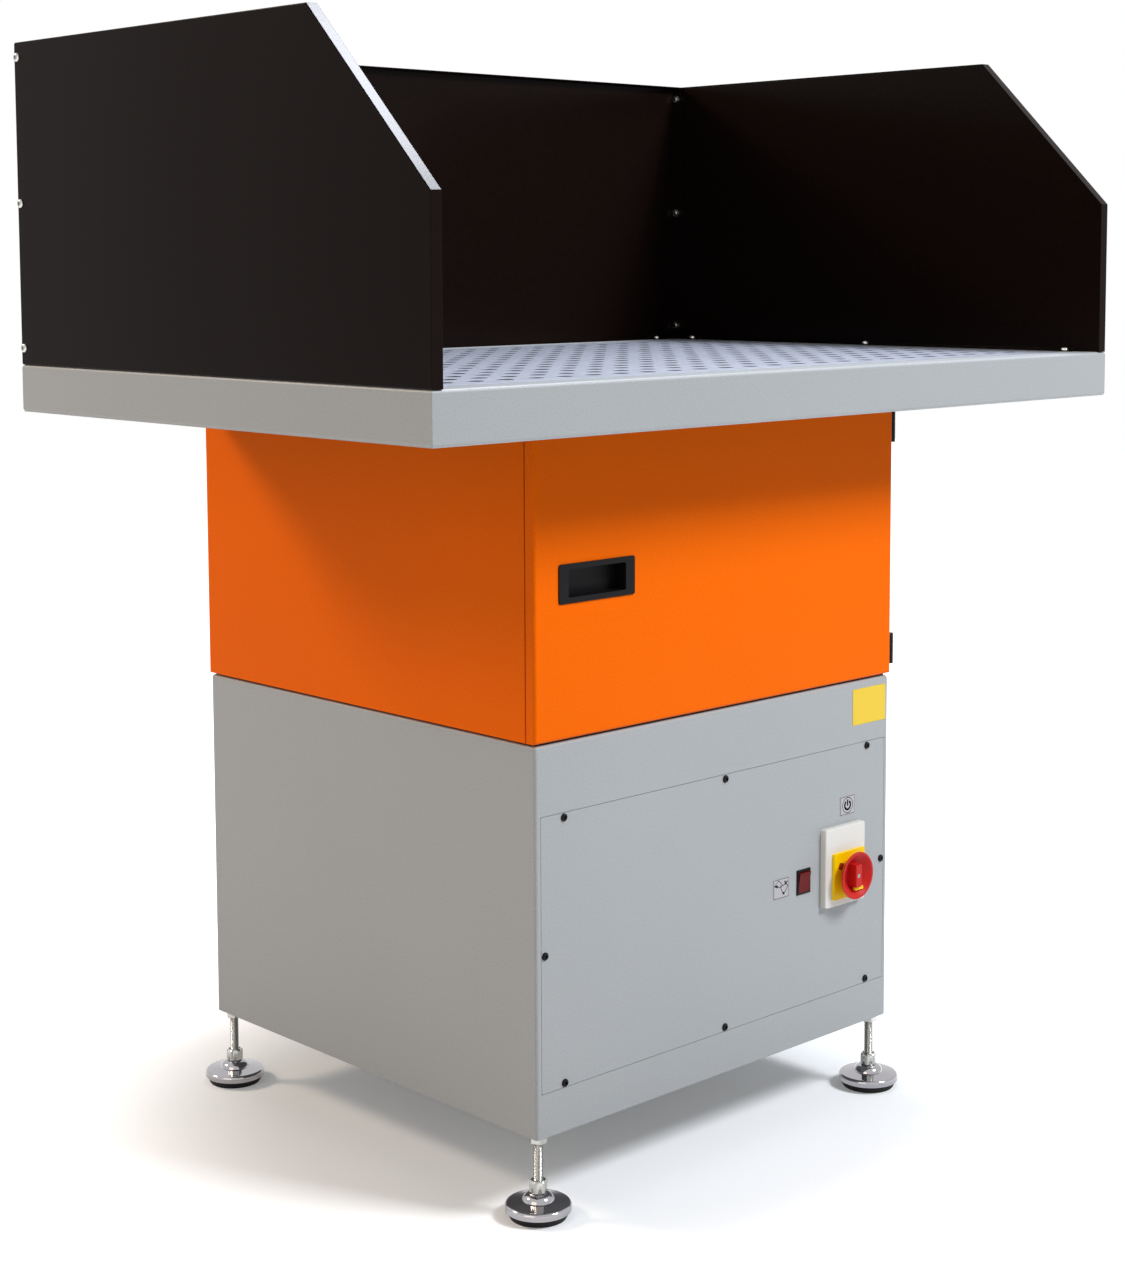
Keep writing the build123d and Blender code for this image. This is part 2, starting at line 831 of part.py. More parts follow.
def make_door():
    """The door: a painted outer tray, a bare inner tray and a seal round its edge."""
    x, y, z = door_limits()
    body = block(x, y, z)
    front = body.faces().sort_by(Axis.Y)[0]
    body = round_edges(body, front.edges(), door_edge_radius)
    skin = body - block(inside(x, door_sheet), (y[0] + door_sheet, y[1] + overrun), inside(z, door_sheet))
    hole_x, hole_z = recess_limits(handle_wall + handle_hole_gap)
    cup_hole = block(hole_x, inside(y, -overrun), hole_z)
    save("door_skin", skin - cup_hole)
    liner_x = inside(x, door_sheet + door_liner_gap)
    liner_z = inside(z, door_sheet + door_liner_gap)
    liner = block(liner_x, (y[0] + door_sheet, y[1]), liner_z)
    room_y = (y[0] + door_sheet - overrun, y[1] - door_liner_sheet)
    liner -= block(inside(liner_x, door_liner_sheet), room_y, inside(liner_z, door_liner_sheet))
    save("door_liner", liner - cup_hole)
    seal_x, seal_z = inside(x, seal_inset), inside(z, seal_inset)
    seal_y = (y[1], y[1] + door_seam - seal_gap)
    seal = block(seal_x, seal_y, seal_z)
    seal -= block(inside(seal_x, seal_width), inside(seal_y, -overrun), inside(seal_z, seal_width))
    save("door_seal", seal)


def make_handle():
    """A recessed cup handle with a thin flange on the door's face."""
    x, z = handle_place()
    flange_y = (door_front - handle_flange, door_front)
    flange = block(around(x, handle_width), flange_y, around(z, handle_height))
    flange = round_edges(flange, flange.edges().filter_by(Axis.Y), handle_corner_radius)
    cup_x, cup_z = recess_limits(handle_wall)
    floor = door_front + handle_recess_depth
    cup = block(cup_x, (door_front - handle_flange / 2, floor + handle_wall), cup_z)
    room_x, room_z = recess_limits(0)
    room = block(room_x, (door_front - handle_flange - overrun, floor), room_z)
    room = round_edges(room, room.edges().filter_by(Axis.Y), handle_recess_radius)
    save("handle_cup", flange + cup - room)


def hinge_axis():
    """X and Y of the hinge line: beside the door's right edge, in the middle of its thickness."""
    return upper_half + hinge_side_gap + hinge_radius, (door_front + door_back) / 2


def hinge_middles():
    """Heights of the middles of the lower and the upper hinge."""
    return upper_bottom + hinge_from_bottom, door_top - hinge_from_top


def hinge_bore(middle):
    """Cutter for a hinge pin's hole."""
    x, y = hinge_axis()
    low = middle - hinge_height / 2 - overrun
    return rod(hinge_pin_radius + hinge_pin_gap, (x, y, low), (0, 0, 1), hinge_height + 2 * overrun)


def make_door_knuckles():
    """The middle knuckle of each hinge, on a foot that is welded to the door's edge."""
    x, y = hinge_axis()
    length = hinge_height / 3
    knuckles = []
    for middle in hinge_middles():
        knuckle = block((upper_half, x), around(y, hinge_foot_width), around(middle, length))
        knuckle += rod(hinge_radius, (x, y, middle - length / 2), (0, 0, 1), length)
        knuckles.append(knuckle - hinge_bore(middle))
    save("hinge_knuckles_door", *knuckles)


def make_housing_knuckles():
    """The two end knuckles of each hinge, on arms from a plate on the housing's side."""
    x, y = hinge_axis()
    plate_y = (housing_front + hinge_plate_gap, housing_front + hinge_plate_length)
    arm_x = (upper_half + hinge_arm_gap, upper_half + hinge_plate)
    length = hinge_height / 3 - hinge_knuckle_gap
    hinges = []
    for middle in hinge_middles():
        height = around(middle, hinge_height)
        hinge = block((upper_half, upper_half + hinge_plate), plate_y, height)
        for low in (height[0], height[1] - length):
            span = (low, low + length)
            hinge += block(arm_x, (y, plate_y[0] + hinge_plate), span)
            hinge += rod(hinge_radius, (x, y, low), (0, 0, 1), length)
        hinges.append(hinge - hinge_bore(middle))
    save("hinge_knuckles_housing", *hinges)


def make_hinge_pins():
    """The pins, each with a flat head on top."""
    x, y = hinge_axis()
    pins = []
    for middle in hinge_middles():
        low, high = around(middle, hinge_height)
        pin = rod(hinge_pin_radius, (x, y, low), (0, 0, 1), hinge_height)
        pins.append(pin + rod(hinge_radius, (x, y, high), (0, 0, 1), hinge_pin_head))
    save("hinge_pins", *pins)


def magnet_middles():
    """Heights of the middles of the two catch magnets."""
    return upper_bottom + magnet_from_end, door_top - magnet_from_end


def magnet_block(middle, grow):
    """A catch magnet at a height, let out by an amount."""
    inner = upper_half - housing_flange
    x = (-inner - magnet_width - grow, -inner + grow - magnet_window_gap)
    y = (door_back + magnet_gap, door_back + magnet_gap + magnet_depth)
    return block(x, inside(y, -grow), inside(around(middle, magnet_height), -grow))


def make_magnets():
    """The two magnets that hold the door shut."""
    save("catch_magnets", *[magnet_block(middle, 0) for middle in magnet_middles()])


# Fan cabinet


def service_limits(grow):
    """X and Z limits of the service panel, let out by an amount."""
    return both(service_half + grow), inside((service_low, service_high), -grow)


def panel_screw_places():
    """Eight screws: three along the top and the bottom edges, and one at each side."""
    rows = (service_high - panel_screw_edge, service_low + panel_screw_edge)
    corner = service_half - panel_screw_corner
    places = [(x, row) for row in rows for x in (-corner, 0, corner)]
    side = service_half - panel_screw_edge
    half_way = (service_low + service_high) / 2
    return places + [(-side, half_way), (side, half_way)]


def foot_places():
    """Feet as name and place."""
    x = lower_half - foot_inset
    front, rear = lower_front + foot_inset, table_back - foot_inset
    return (
        ("front_left", -x, front),
        ("front_right", x, front),
        ("rear_left", -x, rear),
        ("rear_right", x, rear),
    )


def outlet_limits():
    """X and Z limits of the fan's outlet."""
    x = (scroll_start_radius, scroll_start_radius + 4 * scroll_step)
    return x, (deck_z - scroll_height + scroll_sheet, deck_z - scroll_sheet)


def make_fan_cabinet():
    """The lower cabinet: a closed box with a recessed opening for the service panel."""
    x, y, z = both(lower_half), (lower_front, table_back), (foot_height, lower_top)
    body = block(x, y, z)
    edges = body.edges().filter_by(Axis.Z) + body.edges().group_by(Axis.Z)[-1]
    body = round_edges(body, edges, lower_edge_radius)
    inner_x = inside(x, cabinet_sheet)
    cabinet = body - block(inner_x, inside(y, cabinet_sheet), inside(z, cabinet_sheet))
    cabinet -= block(*floor_opening(), (z[1] - 2 * cabinet_sheet, z[1] + overrun))
    panel_x, panel_z = service_limits(service_gap)
    cabinet -= block(panel_x, (y[0] - overrun, y[0] + cabinet_sheet), panel_z)
    ring_y = (y[0] + cabinet_sheet, y[0] + 2 * cabinet_sheet)
    ring = block(inner_x, ring_y, inside(panel_z, -service_flange_cover))
    ring_mouth = (inside(panel_x, service_flange), inside(panel_z, service_flange))
    cabinet += ring - block(ring_mouth[0], inside(ring_y, -overrun), ring_mouth[1])
    hole_radius = panel_screw_radius + panel_screw_hole_gap
    for sx, sz in panel_screw_places():
        start = (sx, ring_y[0] - overrun, sz)
        cabinet -= rod(hole_radius, start, (0, 1, 0), cabinet_sheet + 2 * overrun)
    outlet_x, outlet_z = outlet_limits()
    cabinet -= block(outlet_x, (y[1] - 2 * cabinet_sheet, y[1] + overrun), outlet_z)
    gland_y = table_back - gland_y_from_back
    gland_start = (x[1] - 2 * cabinet_sheet, gland_y, gland_z)
    gland_hole = gland_thread_radius + gland_hole_gap
    cabinet -= rod(gland_hole, gland_start, (1, 0, 0), 2 * cabinet_sheet + overrun)
    corner_x = (x[0] + cabinet_sheet, x[1] - cabinet_sheet - foot_boss)
    corner_y = (y[0] + cabinet_sheet, y[1] - cabinet_sheet - foot_boss)
    boss_z = (z[0] + cabinet_sheet / 2, z[0] + cabinet_sheet + foot_boss_height)
    for left in corner_x:
        for front in corner_y:
            cabinet += block((left, left + foot_boss), (front, front + foot_boss), boss_z)
    for _, px, py in foot_places():
        start = (px, py, z[0] - overrun)
        length = cabinet_sheet + foot_boss_height + 2 * overrun
        cabinet -= rod(spindle_radius + spindle_gap, start, (0, 0, 1), length)
    save("fan_cabinet", cabinet)


def make_seam_gasket():
    """The black gasket between the two cabinets, set back behind their faces."""
    x = inside(both(lower_half), seam_inset)
    y = inside((lower_front, table_back), seam_inset)
    ring = frame_ring(x, y, inside(x, seam_width), inside(y, seam_width), (lower_top, upper_bottom))
    save("seam_gasket", ring)


def make_service_panel():
    """The flush panel with cut-outs for the two switches, and its screws."""
    x, z = service_limits(0)
    y = (lower_front, lower_front + cabinet_sheet)
    panel = block(x, y, z)
    panel = round_edges(panel, panel.edges().filter_by(Axis.Y), service_corner_radius)
    through = inside(y, -overrun)
    cut_x, cut_z = switch_cutout()
    panel -= block(cut_x, through, cut_z)
    panel -= block(*rocker_body_limits(rocker_cutout_gap, through))
    hole_radius = panel_screw_radius + panel_screw_hole_gap
    screws = []
    for sx, sz in panel_screw_places():
        seat = (sx, lower_front, sz)
        panel -= rod(hole_radius, (sx, through[0], sz), (0, 1, 0), cabinet_sheet + 2 * overrun)
        head = button_head(panel_screw_head_radius, panel_screw_head_height, seat, (0, -1, 0))
        screws.append(head + rod(panel_screw_radius, seat, (0, 1, 0), panel_screw_length))
    save("service_panel", panel)
    save("panel_screws", *screws)


# Main switch


def switch_cutout():
    """X and Z limits of the cut-out for the contact block, on the knob's axis."""
    size = switch_body_size + 2 * switch_cutout_gap
    return around(knob_x, size), around(knob_z, size)


def make_main_switch():
    """The housing on the panel, the plate on it, and the contact block behind them."""
    face = lower_front
    front = face - switch_depth
    housing = block(around(switch_x, switch_width), (front, face), around(switch_z, switch_height))
    housing = round_edges(housing, housing.edges().filter_by(Axis.Y), switch_radius)
    housing = round_edges(housing, housing.faces().sort_by(Axis.Y)[0].edges(), switch_radius / 2)
    cut_x, cut_z = switch_cutout()
    housing -= block(cut_x, (front + switch_wall, face + overrun), cut_z)
    shaft_hole = switch_shaft_radius + switch_shaft_gap
    hole_start = (knob_x, face + overrun, knob_z)
    hole = rod(shaft_hole, hole_start, (0, -1, 0), switch_depth + switch_plate_thickness + 2 * overrun)
    save("switch_housing", housing - hole)
    plate_y = (front - switch_plate_thickness, front)
    plate = block(around(knob_x, switch_plate_size), plate_y, around(knob_z, switch_plate_size))
    plate = round_edges(plate, plate.edges().filter_by(Axis.Y), switch_plate_radius)
    save("switch_plate", plate - hole)
    body_x, body_z = inside(cut_x, switch_cutout_gap), inside(cut_z, switch_cutout_gap)
    body = block(body_x, (front + switch_wall, face + switch_body_depth), body_z)
    socket = rod(shaft_hole, (knob_x, front, knob_z), (0, 1, 0), switch_depth + switch_shaft_reach)
    save("switch_body", body - socket)


def make_knob():
    """A shallow dish with a grip across it, the grip's screw, the padlock tab and the shaft."""
    slope = (knob_radius - knob_back_radius) / (knob_depth - knob_lip)
    rim_in = knob_radius - knob_rim
    floor_in = rim_in - (knob_depth - knob_floor) * slope
    dish = [(0, 0), (knob_back_radius, 0), (knob_radius, knob_depth - knob_lip), (knob_radius, knob_depth)]
    dish += [(rim_in, knob_depth), (floor_in, knob_floor), (0, knob_floor)]
    grip_top = knob_depth + grip_proud
    grip = block(both(grip_width / 2), both(grip_length / 2), (knob_floor / 2, grip_top))
    grip = round_edges(grip, grip.faces().sort_by(Axis.Z)[-1].edges().filter_by(Axis.Y), grip_edge_radius)
    knob = turned(dish, 0, 0) + grip
    screw_low = grip_top - knob_screw_depth
    screw_hole = knob_screw_radius + knob_screw_gap
    knob -= rod(screw_hole, (0, 0, screw_low), (0, 0, 1), knob_screw_depth + overrun)
    tab_high = -grip_length / 2 - tab_from_grip
    tab_x, tab_y = around(tab_right, tab_width), (tab_high - tab_height, tab_high)
    tab_z = (knob_depth - tab_below_rim - tab_depth, knob_depth - tab_below_rim)
    knob -= block(inside(tab_x, -tab_gap), inside(tab_y, -tab_gap), inside(tab_z, -tab_gap))
    screw = rod(knob_screw_radius, (0, 0, screw_low), (0, 0, 1), knob_screw_depth - knob_screw_gap)
    back = lower_front - switch_depth - switch_plate_thickness - knob_gap
    place = Pos(knob_x, back, knob_z) * Rot(90, 0, 0)
    save("switch_knob", place * knob)
    save("padlock_tab", place * block(tab_x, tab_y, tab_z))
    save("knob_screw", place * screw)
    shaft_length = switch_depth + switch_plate_thickness + knob_gap + switch_shaft_length
    save("switch_shaft", rod(switch_shaft_radius, (knob_x, back, knob_z), (0, 1, 0), shaft_length))


# Rocker switch


def rocker_body_limits(grow, y):
    """Limits of the part of the rocker switch that goes through the panel."""
    width = rocker_bezel_width - rocker_wall + 2 * grow
    height = rocker_bezel_height - rocker_wall + 2 * grow
    return around(rocker_x, width), y, around(rocker_z, height)


def make_rocker():
    """A bezel and body in one, and a rocker that tips on two pins."""
    face = lower_front
    bezel_x, bezel_z = around(rocker_x, rocker_bezel_width), around(rocker_z, rocker_bezel_height)
    bezel = block(bezel_x, (face - rocker_bezel_proud, face), bezel_z)
    bezel = round_edges(bezel, bezel.faces().sort_by(Axis.Y)[0].edges(), rocker_bezel_radius)
    body = block(*rocker_body_limits(0, (face - rocker_bezel_proud / 2, face + rocker_body_depth)))
    room_half_x = rocker_bezel_width / 2 - rocker_wall
    room_half_z = rocker_bezel_height / 2 - rocker_wall
    well = face + rocker_body_depth - rocker_wall
    room_y = (face - rocker_bezel_proud - overrun, well)
    room = block(inside(bezel_x, rocker_wall), room_y, inside(bezel_z, rocker_wall))
    pivot_y = face + rocker_depth / 2
    pin_reach = room_half_x + rocker_pin_length + rocker_pin_gap
    pin_start = (rocker_x - pin_reach, pivot_y, rocker_z)
    pin_holes = rod(rocker_pin_radius + rocker_pin_gap, pin_start, (1, 0, 0), 2 * pin_reach)
    save("rocker_bezel", bezel + body - room - pin_holes)

    rx = room_half_x - rocker_side_gap
    tilt = math.radians(rocker_tilt)
    rz = room_half_z * math.cos(tilt) - rocker_side_gap - rocker_depth * math.sin(tilt) / 2
    front = face - rocker_bezel_proud - rocker_proud
    back = pivot_y + rocker_depth / 2
    points = [(front, rz), (back, rz), (back, -rz), (front, -rz), (front + rocker_proud / 2, 0)]
    outline = make_face(Polyline(*[(rocker_x - rx, py, rocker_z + pz) for py, pz in points], close=True))
    rocker = extrude(outline, 2 * rx, dir=(1, 0, 0))
    length = 2 * (room_half_x + rocker_pin_length)
    rocker += rod(rocker_pin_radius, (rocker_x - length / 2, pivot_y, rocker_z), (1, 0, 0), length)
    turn = Axis((rocker_x, pivot_y, rocker_z), (1, 0, 0))
    save("rocker_button", rocker.rotate(turn, rocker_tilt))


# Signs


def sign(x, z, thickness):
    """A thin plate on the cabinet's front, with rounded corners, from its X and Z limits."""
    plate = block(x, (lower_front - thickness, lower_front), z)
    return round_edges(plate, plate.edges().filter_by(Axis.Y), sign_radius)


def make_signs():
    """Two pictogram plates and a yellow plate, all bare."""
    light_x = around(lower_half - light_sign_from_side, light_sign_width)
    light_z = around(service_high - light_sign_from_top, light_sign_height)
    power_x = around(lower_half - power_sign_from_side, power_sign_width)
    power_z = around(service_high - power_sign_from_top, power_sign_height)
    light = sign(light_x, light_z, sign_thickness)
    save("pictogram_plates", light, sign(power_x, power_z, sign_thickness))
    right, top = lower_half - tag_from_side, lower_top - tag_from_top
    save("tag_plate", sign((right - tag_width, right), (top - tag_height, top), tag_thickness))


# Fan


def make_fan_deck():
    """The sheet over the fan, with the inlet ring drawn down into it."""
    x = both(lower_half - cabinet_sheet)
    y = (lower_front + 2 * cabinet_sheet, table_back - cabinet_sheet)
    top = deck_z + cabinet_sheet
    deck = block(x, y, (deck_z, top))
    hole_start = (0, cabinet_middle_y, deck_z - overrun)
    deck -= rod(inlet_radius, hole_start, (0, 0, 1), cabinet_sheet + 2 * overrun)
    throat_bottom = top - inlet_length
    points = [
        (inlet_radius + cabinet_sheet, top),
        (inlet_radius + cabinet_sheet, deck_z),
        (inlet_radius, deck_z),
        (throat_radius, throat_bottom),
        (throat_radius - cabinet_sheet, throat_bottom),
        (inlet_radius - cabinet_sheet, top),
    ]
    save("fan_deck", deck + turned(points, 0, cabinet_middle_y))


def scroll_face(grow, end):
    """The scroll from above, let out by an amount: four growing quarter arcs and an outlet duct."""
    centre = Vector(0, 0)
    edges = []
    for quarter in range(4):
        angle = 90 * quarter
        radius = scroll_start_radius + scroll_step * quarter + grow
        edges.append(CenterArc(centre, radius, angle, 90))
        turn = math.radians(angle + 90)
        centre -= Vector(math.cos(turn), math.sin(turn)) * scroll_step
    edges.append(Line(edges[-1] @ 1, edges[0] @ 0))
    left = scroll_start_radius - grow
    right = scroll_start_radius + 4 * scroll_step + grow
    duct = Pos((left + right) / 2, end / 2) * Rectangle(right - left, end)
    return make_face(Curve() + edges) + duct


def make_fan_scroll():
    """The spiral fan housing, with its inlet above, the motor's hole below and an outlet behind."""
    low = motor_top
    end = table_back - cabinet_sheet - cabinet_middle_y
    outer = extrude(Pos(0, 0, low) * scroll_face(scroll_sheet, end), scroll_height)
    room = Pos(0, 0, low + scroll_sheet) * scroll_face(0, end + overrun)
    scroll = outer - extrude(room, scroll_height - 2 * scroll_sheet)
    scroll -= rod(inlet_radius + scroll_eye_gap, (0, 0, deck_z - overrun), (0, 0, 1), 2 * overrun)
    scroll -= rod(scroll_motor_hole, (0, 0, low - overrun), (0, 0, 1), 2 * overrun)
    save("fan_scroll", Pos(0, cabinet_middle_y, 0) * scroll)


def blade(angle, bottom, height):
    """One backward-curved blade between the back plate and the shroud."""
    tip_radius = wheel_radius - wheel_sheet
    middle_radius = (blade_root_radius + tip_radius) / 2
    skew = math.degrees(wheel_sheet / middle_radius)
    outlines = []
    for extra in (0, skew):
        stations = ((blade_root_radius, 0), (middle_radius, blade_mid_share), (tip_radius, 1))
        turns = [(r, math.radians(angle + extra - share * blade_sweep)) for r, share in stations]
        outlines.append([(r * math.cos(a), r * math.sin(a)) for r, a in turns])
    first, second = outlines
    curve = Curve() + [
        ThreePointArc(*first),
        Line(first[2], second[2]),
        ThreePointArc(*reversed(second)),
        Line(second[0], first[0]),
    ]
    return extrude(Pos(0, 0, bottom) * make_face(curve), height)


def make_impeller():
    """A backward-curved fan wheel on a hub, and the motor shaft that carries it."""
    low = motor_top + scroll_sheet + wheel_bottom_gap
    up = (0, 0, 1)
    wheel = rod(wheel_radius, (0, 0, low), up, wheel_sheet)
    wheel += rod(hub_radius, (0, 0, low), up, hub_height)
    shroud_low = low + wheel_height - wheel_sheet
    shroud = rod(wheel_radius, (0, 0, shroud_low), up, wheel_sheet)
    shroud += rod(wheel_eye_radius + wheel_sheet, (0, 0, shroud_low), up, wheel_collar)
    wheel += shroud - rod(wheel_eye_radius, (0, 0, shroud_low - overrun), up, wheel_collar + 2 * overrun)
    blade_bottom = low + wheel_sheet / 2
    for index in range(blade_count):
        wheel += blade(360 / blade_count * index, blade_bottom, wheel_height - wheel_sheet)
    wheel -= rod(shaft_radius, (0, 0, low - overrun), up, hub_height + overrun)
    save("fan_impeller", Pos(0, cabinet_middle_y, 0) * wheel)
    bottom = motor_top - shaft_depth
    shaft_length = low + hub_height - overrun - bottom
    save("motor_shaft", rod(shaft_radius, (0, cabinet_middle_y, bottom), up, shaft_length))


def make_motor():
    """The motor hangs under the scroll: flange, finned body, end cover and terminal box."""
    up = (0, 0, 1)
    body_length = motor_body_top - motor_bottom
    motor = rod(motor_flange_radius, (0, 0, motor_body_top), up, motor_flange)
    motor += rod(motor_radius, (0, 0, motor_bottom), up, body_length)
    motor += rod(motor_radius + motor_fin, (0, 0, motor_bottom), up, motor_cover_length)
    fin_x = (motor_radius - motor_fin, motor_radius + motor_fin)
    fin = block(fin_x, both(motor_fin_thickness / 2), (motor_bottom, motor_body_top))
    for index in range(motor_fin_count):
        motor += Rot(0, 0, 360 / motor_fin_count * index) * fin
    box_y = (-motor_radius - motor_fin - terminal_box_depth, -motor_radius + motor_fin)
    box_top = motor_body_top - motor_flange
    motor += block(both(terminal_box_width / 2), box_y, (box_top - terminal_box_height, box_top))
    bore_start = (0, 0, motor_top - shaft_depth - overrun)
    motor -= rod(shaft_radius + shaft_gap, bore_start, up, shaft_depth + 2 * overrun)
    save("fan_motor", Pos(0, cabinet_middle_y, 0) * motor)


def make_outlet_grille():
    """A slotted grille over the fan's outlet in the back wall."""
    outlet_x, outlet_z = outlet_limits()
    x, z = inside(outlet_x, -grille_margin), inside(outlet_z, -grille_margin)
    y = (table_back, table_back + grille_sheet)
    grille = block(x, y, z)
    slot_x = inside(outlet_x, grille_edge)
    spacing = (outlet_z[1] - outlet_z[0]) / grille_slot_count
    for index in range(grille_slot_count):
        slot_z = around(outlet_z[0] + spacing * (index + 1 / 2), grille_slot_width)
        grille -= block(slot_x, inside(y, -overrun), slot_z)
    save("outlet_grille", grille)


def make_mains_gland():
    """The cable gland of the mains inlet, low on the right side."""
    y = table_back - gland_y_from_back
    start = (lower_half, y, gland_z)
    outwards = (1, 0, 0)
    gland = hex_rod(gland_hex_flats, start, outwards, gland_hex_height)
    dome_start = (lower_half + gland_hex_height, y, gland_z)
    gland += domed(gland_dome_radius, gland_dome_height, dome_start, outwards)
    gland += rod(gland_thread_radius, start, (-1, 0, 0), gland_thread_length)
    inner = (lower_half - cabinet_sheet, y, gland_z)
    gland += hex_rod(gland_hex_flats, inner, (-1, 0, 0), gland_hex_height)
    bore_start = (lower_half - gland_thread_length - overrun, y, gland_z)
    bore_length = gland_thread_length + gland_hex_height + gland_dome_height + 2 * overrun
    save("mains_gland", gland - rod(gland_bore_radius, bore_start, outwards, bore_length))


# Levelling feet


def foot_levels():
    """Heights along a foot: sole top, rim top, cone top, dome top and hex top."""
    rim = sole_thickness + pad_rim_height
    cone = rim + pad_cone_rise
    dome = cone + pad_dome_rise
    return sole_thickness, rim, cone, dome, dome + hex_height


def make_foot(name, x, y):
    """A rubber sole, a chromed pad with a ball socket, and a threaded spindle with its hexagon."""
    sole_top, rim, cone, dome, hex_top = foot_levels()
    side_radius = pad_radius - sole_inset
    bottom_radius = side_radius - sole_taper
    sole = turned([(0, 0), (bottom_radius, 0), (side_radius, sole_top), (0, sole_top)], x, y)
    save(f"foot_sole_{name}", sole)

    shoulder = pad_radius - pad_rim_radius
    rim_foot = rim - pad_rim_radius
    slant = pad_rim_radius * math.sin(math.pi / 4)
    rim_arc = ThreePointArc(
        (pad_radius, 0, rim_foot), (shoulder + slant, 0, rim_foot + slant), (shoulder, 0, rim)
    )
    neck = pad_socket_radius + pad_sheet
    bulge = (pad_dome_radius + neck) / 2 + pad_dome_rise * dome_bulge_share
    dome_arc = ThreePointArc(
        (pad_dome_radius, 0, cone), (bulge, 0, cone + pad_dome_rise * dome_height_share), (neck, 0, dome)
    )
    outline = Curve() + [
        Line((0, 0, sole_top), (pad_radius, 0, sole_top)),
        Line((pad_radius, 0, sole_top), (pad_radius, 0, rim_foot)),
        rim_arc,
        Line((shoulder, 0, rim), (pad_dome_radius, 0, cone)),
        dome_arc,
        Line((neck, 0, dome), (0, 0, dome)),
        Line((0, 0, dome), (0, 0, sole_top)),
    ]
    pad = Pos(x, y, 0) * revolve(make_face(outline), Axis.Z)
    pad -= rod(pad_socket_radius, (x, y, cone), (0, 0, 1), pad_dome_rise + overrun)
    save(f"foot_pad_{name}", pad)

    spindle = rod(ball_radius, (x, y, cone), (0, 0, 1), pad_dome_rise)
    spindle += hex_rod(hex_flats, (x, y, dome), (0, 0, 1), hex_height)
    spindle -= rod(hex_cup_radius, (x, y, hex_top - hex_cup_depth), (0, 0, 1), hex_cup_depth + overrun)
    spindle += rod(spindle_radius, (x, y, dome), (0, 0, 1), foot_height + spindle_above_floor - dome)
    save(f"foot_spindle_{name}", spindle)


def make_feet():
    """Four feet and the lock nuts that hold their spindles under the cabinet."""
    nuts = []
    for name, x, y in foot_places():
        make_foot(name, x, y)
        bottom = (x, y, foot_height - lock_nut_height)
        nut = hex_rod(hex_flats, bottom, (0, 0, 1), lock_nut_height)
        nut = chamfer(nut.faces().sort_by(Axis.Z)[0].edges(), lock_nut_chamfer)
        bore_start = (x, y, foot_height - lock_nut_height - overrun)
        bore = rod(spindle_radius + spindle_gap, bore_start, (0, 0, 1), lock_nut_height + 2 * overrun)
        nuts.append(nut - bore)
    save("foot_lock_nuts", *nuts)


make_top_frame()
make_work_plate()
make_support_bars()
make_collecting_pan()
make_spark_baffle()
make_side_skins()
make_side_liners()
make_back_panel()
make_corner_bolts()
make_base_screws()
make_filter_housing()
make_filter_seat()
make_main_filter()
make_prefilter()
make_door()
make_handle()
make_door_knuckles()
make_housing_knuckles()
make_hinge_pins()
make_magnets()
make_fan_cabinet()
make_seam_gasket()
make_service_panel()
make_main_switch()
make_knob()
make_rocker()
make_signs()
make_fan_deck()
make_fan_scroll()
make_impeller()
make_motor()
make_outlet_grille()
make_mains_gland()
make_feet()
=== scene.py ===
# %% [markdown]
# A downdraft extraction table is a steel work table that draws grinding dust down through its
# perforated top. Everything solid was made elsewhere as an exact model, so this file gives the
# finishes, the few small forms that are easier to make in Blender, and a studio to look at it all
# in. The frame brings in every solid, already in place and measured in metres, with the floor at
# zero height.

import json
import math

import bmesh
import bpy
from mathutils import Matrix, Vector


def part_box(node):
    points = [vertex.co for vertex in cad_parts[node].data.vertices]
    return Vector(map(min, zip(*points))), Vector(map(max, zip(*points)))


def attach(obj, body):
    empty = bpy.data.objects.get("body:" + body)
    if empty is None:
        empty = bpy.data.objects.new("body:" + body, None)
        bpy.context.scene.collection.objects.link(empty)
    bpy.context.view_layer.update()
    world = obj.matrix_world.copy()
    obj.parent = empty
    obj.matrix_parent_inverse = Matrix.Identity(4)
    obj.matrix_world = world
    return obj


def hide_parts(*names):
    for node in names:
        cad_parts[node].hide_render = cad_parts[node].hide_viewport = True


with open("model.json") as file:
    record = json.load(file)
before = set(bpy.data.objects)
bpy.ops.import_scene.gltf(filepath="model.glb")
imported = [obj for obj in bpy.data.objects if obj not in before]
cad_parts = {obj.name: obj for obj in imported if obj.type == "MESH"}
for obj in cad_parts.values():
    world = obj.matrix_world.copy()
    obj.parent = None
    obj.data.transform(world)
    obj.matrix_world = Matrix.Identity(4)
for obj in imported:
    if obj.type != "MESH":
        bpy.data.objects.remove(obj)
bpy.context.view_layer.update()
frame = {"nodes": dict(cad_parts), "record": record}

MM = 0.001

# %% [markdown]
# Colours are written as the hex values that one would pick from a screen. Blender's shaders work
# in linear light, so one function turns the first into the second, and every colour goes through it.


# %% Colours
def colour(hex_code):
    """An sRGB hex colour as linear red, green, blue and full opacity."""
    channels = []
    for start in (1, 3, 5):
        level = int(hex_code[start:start + 2], 16) / 255
        channels.append(level / 12.92 if level <= 0.04045 else ((level + 0.055) / 1.055) ** 2.4)
    return (*channels, 1.0)


WHITE = colour("#FFFFFF")
print("mid grey in linear light:", [round(c, 3) for c in colour("#808080")])

# %% [markdown]
# A material is a small graph. Adding one node by hand takes about five lines, so one short function
# adds a node, gives its properties and inputs their values and joins it to the nodes before it.
# Every surface here ends in the same pair, a Principled shader and the output, so another function
# adds those two.


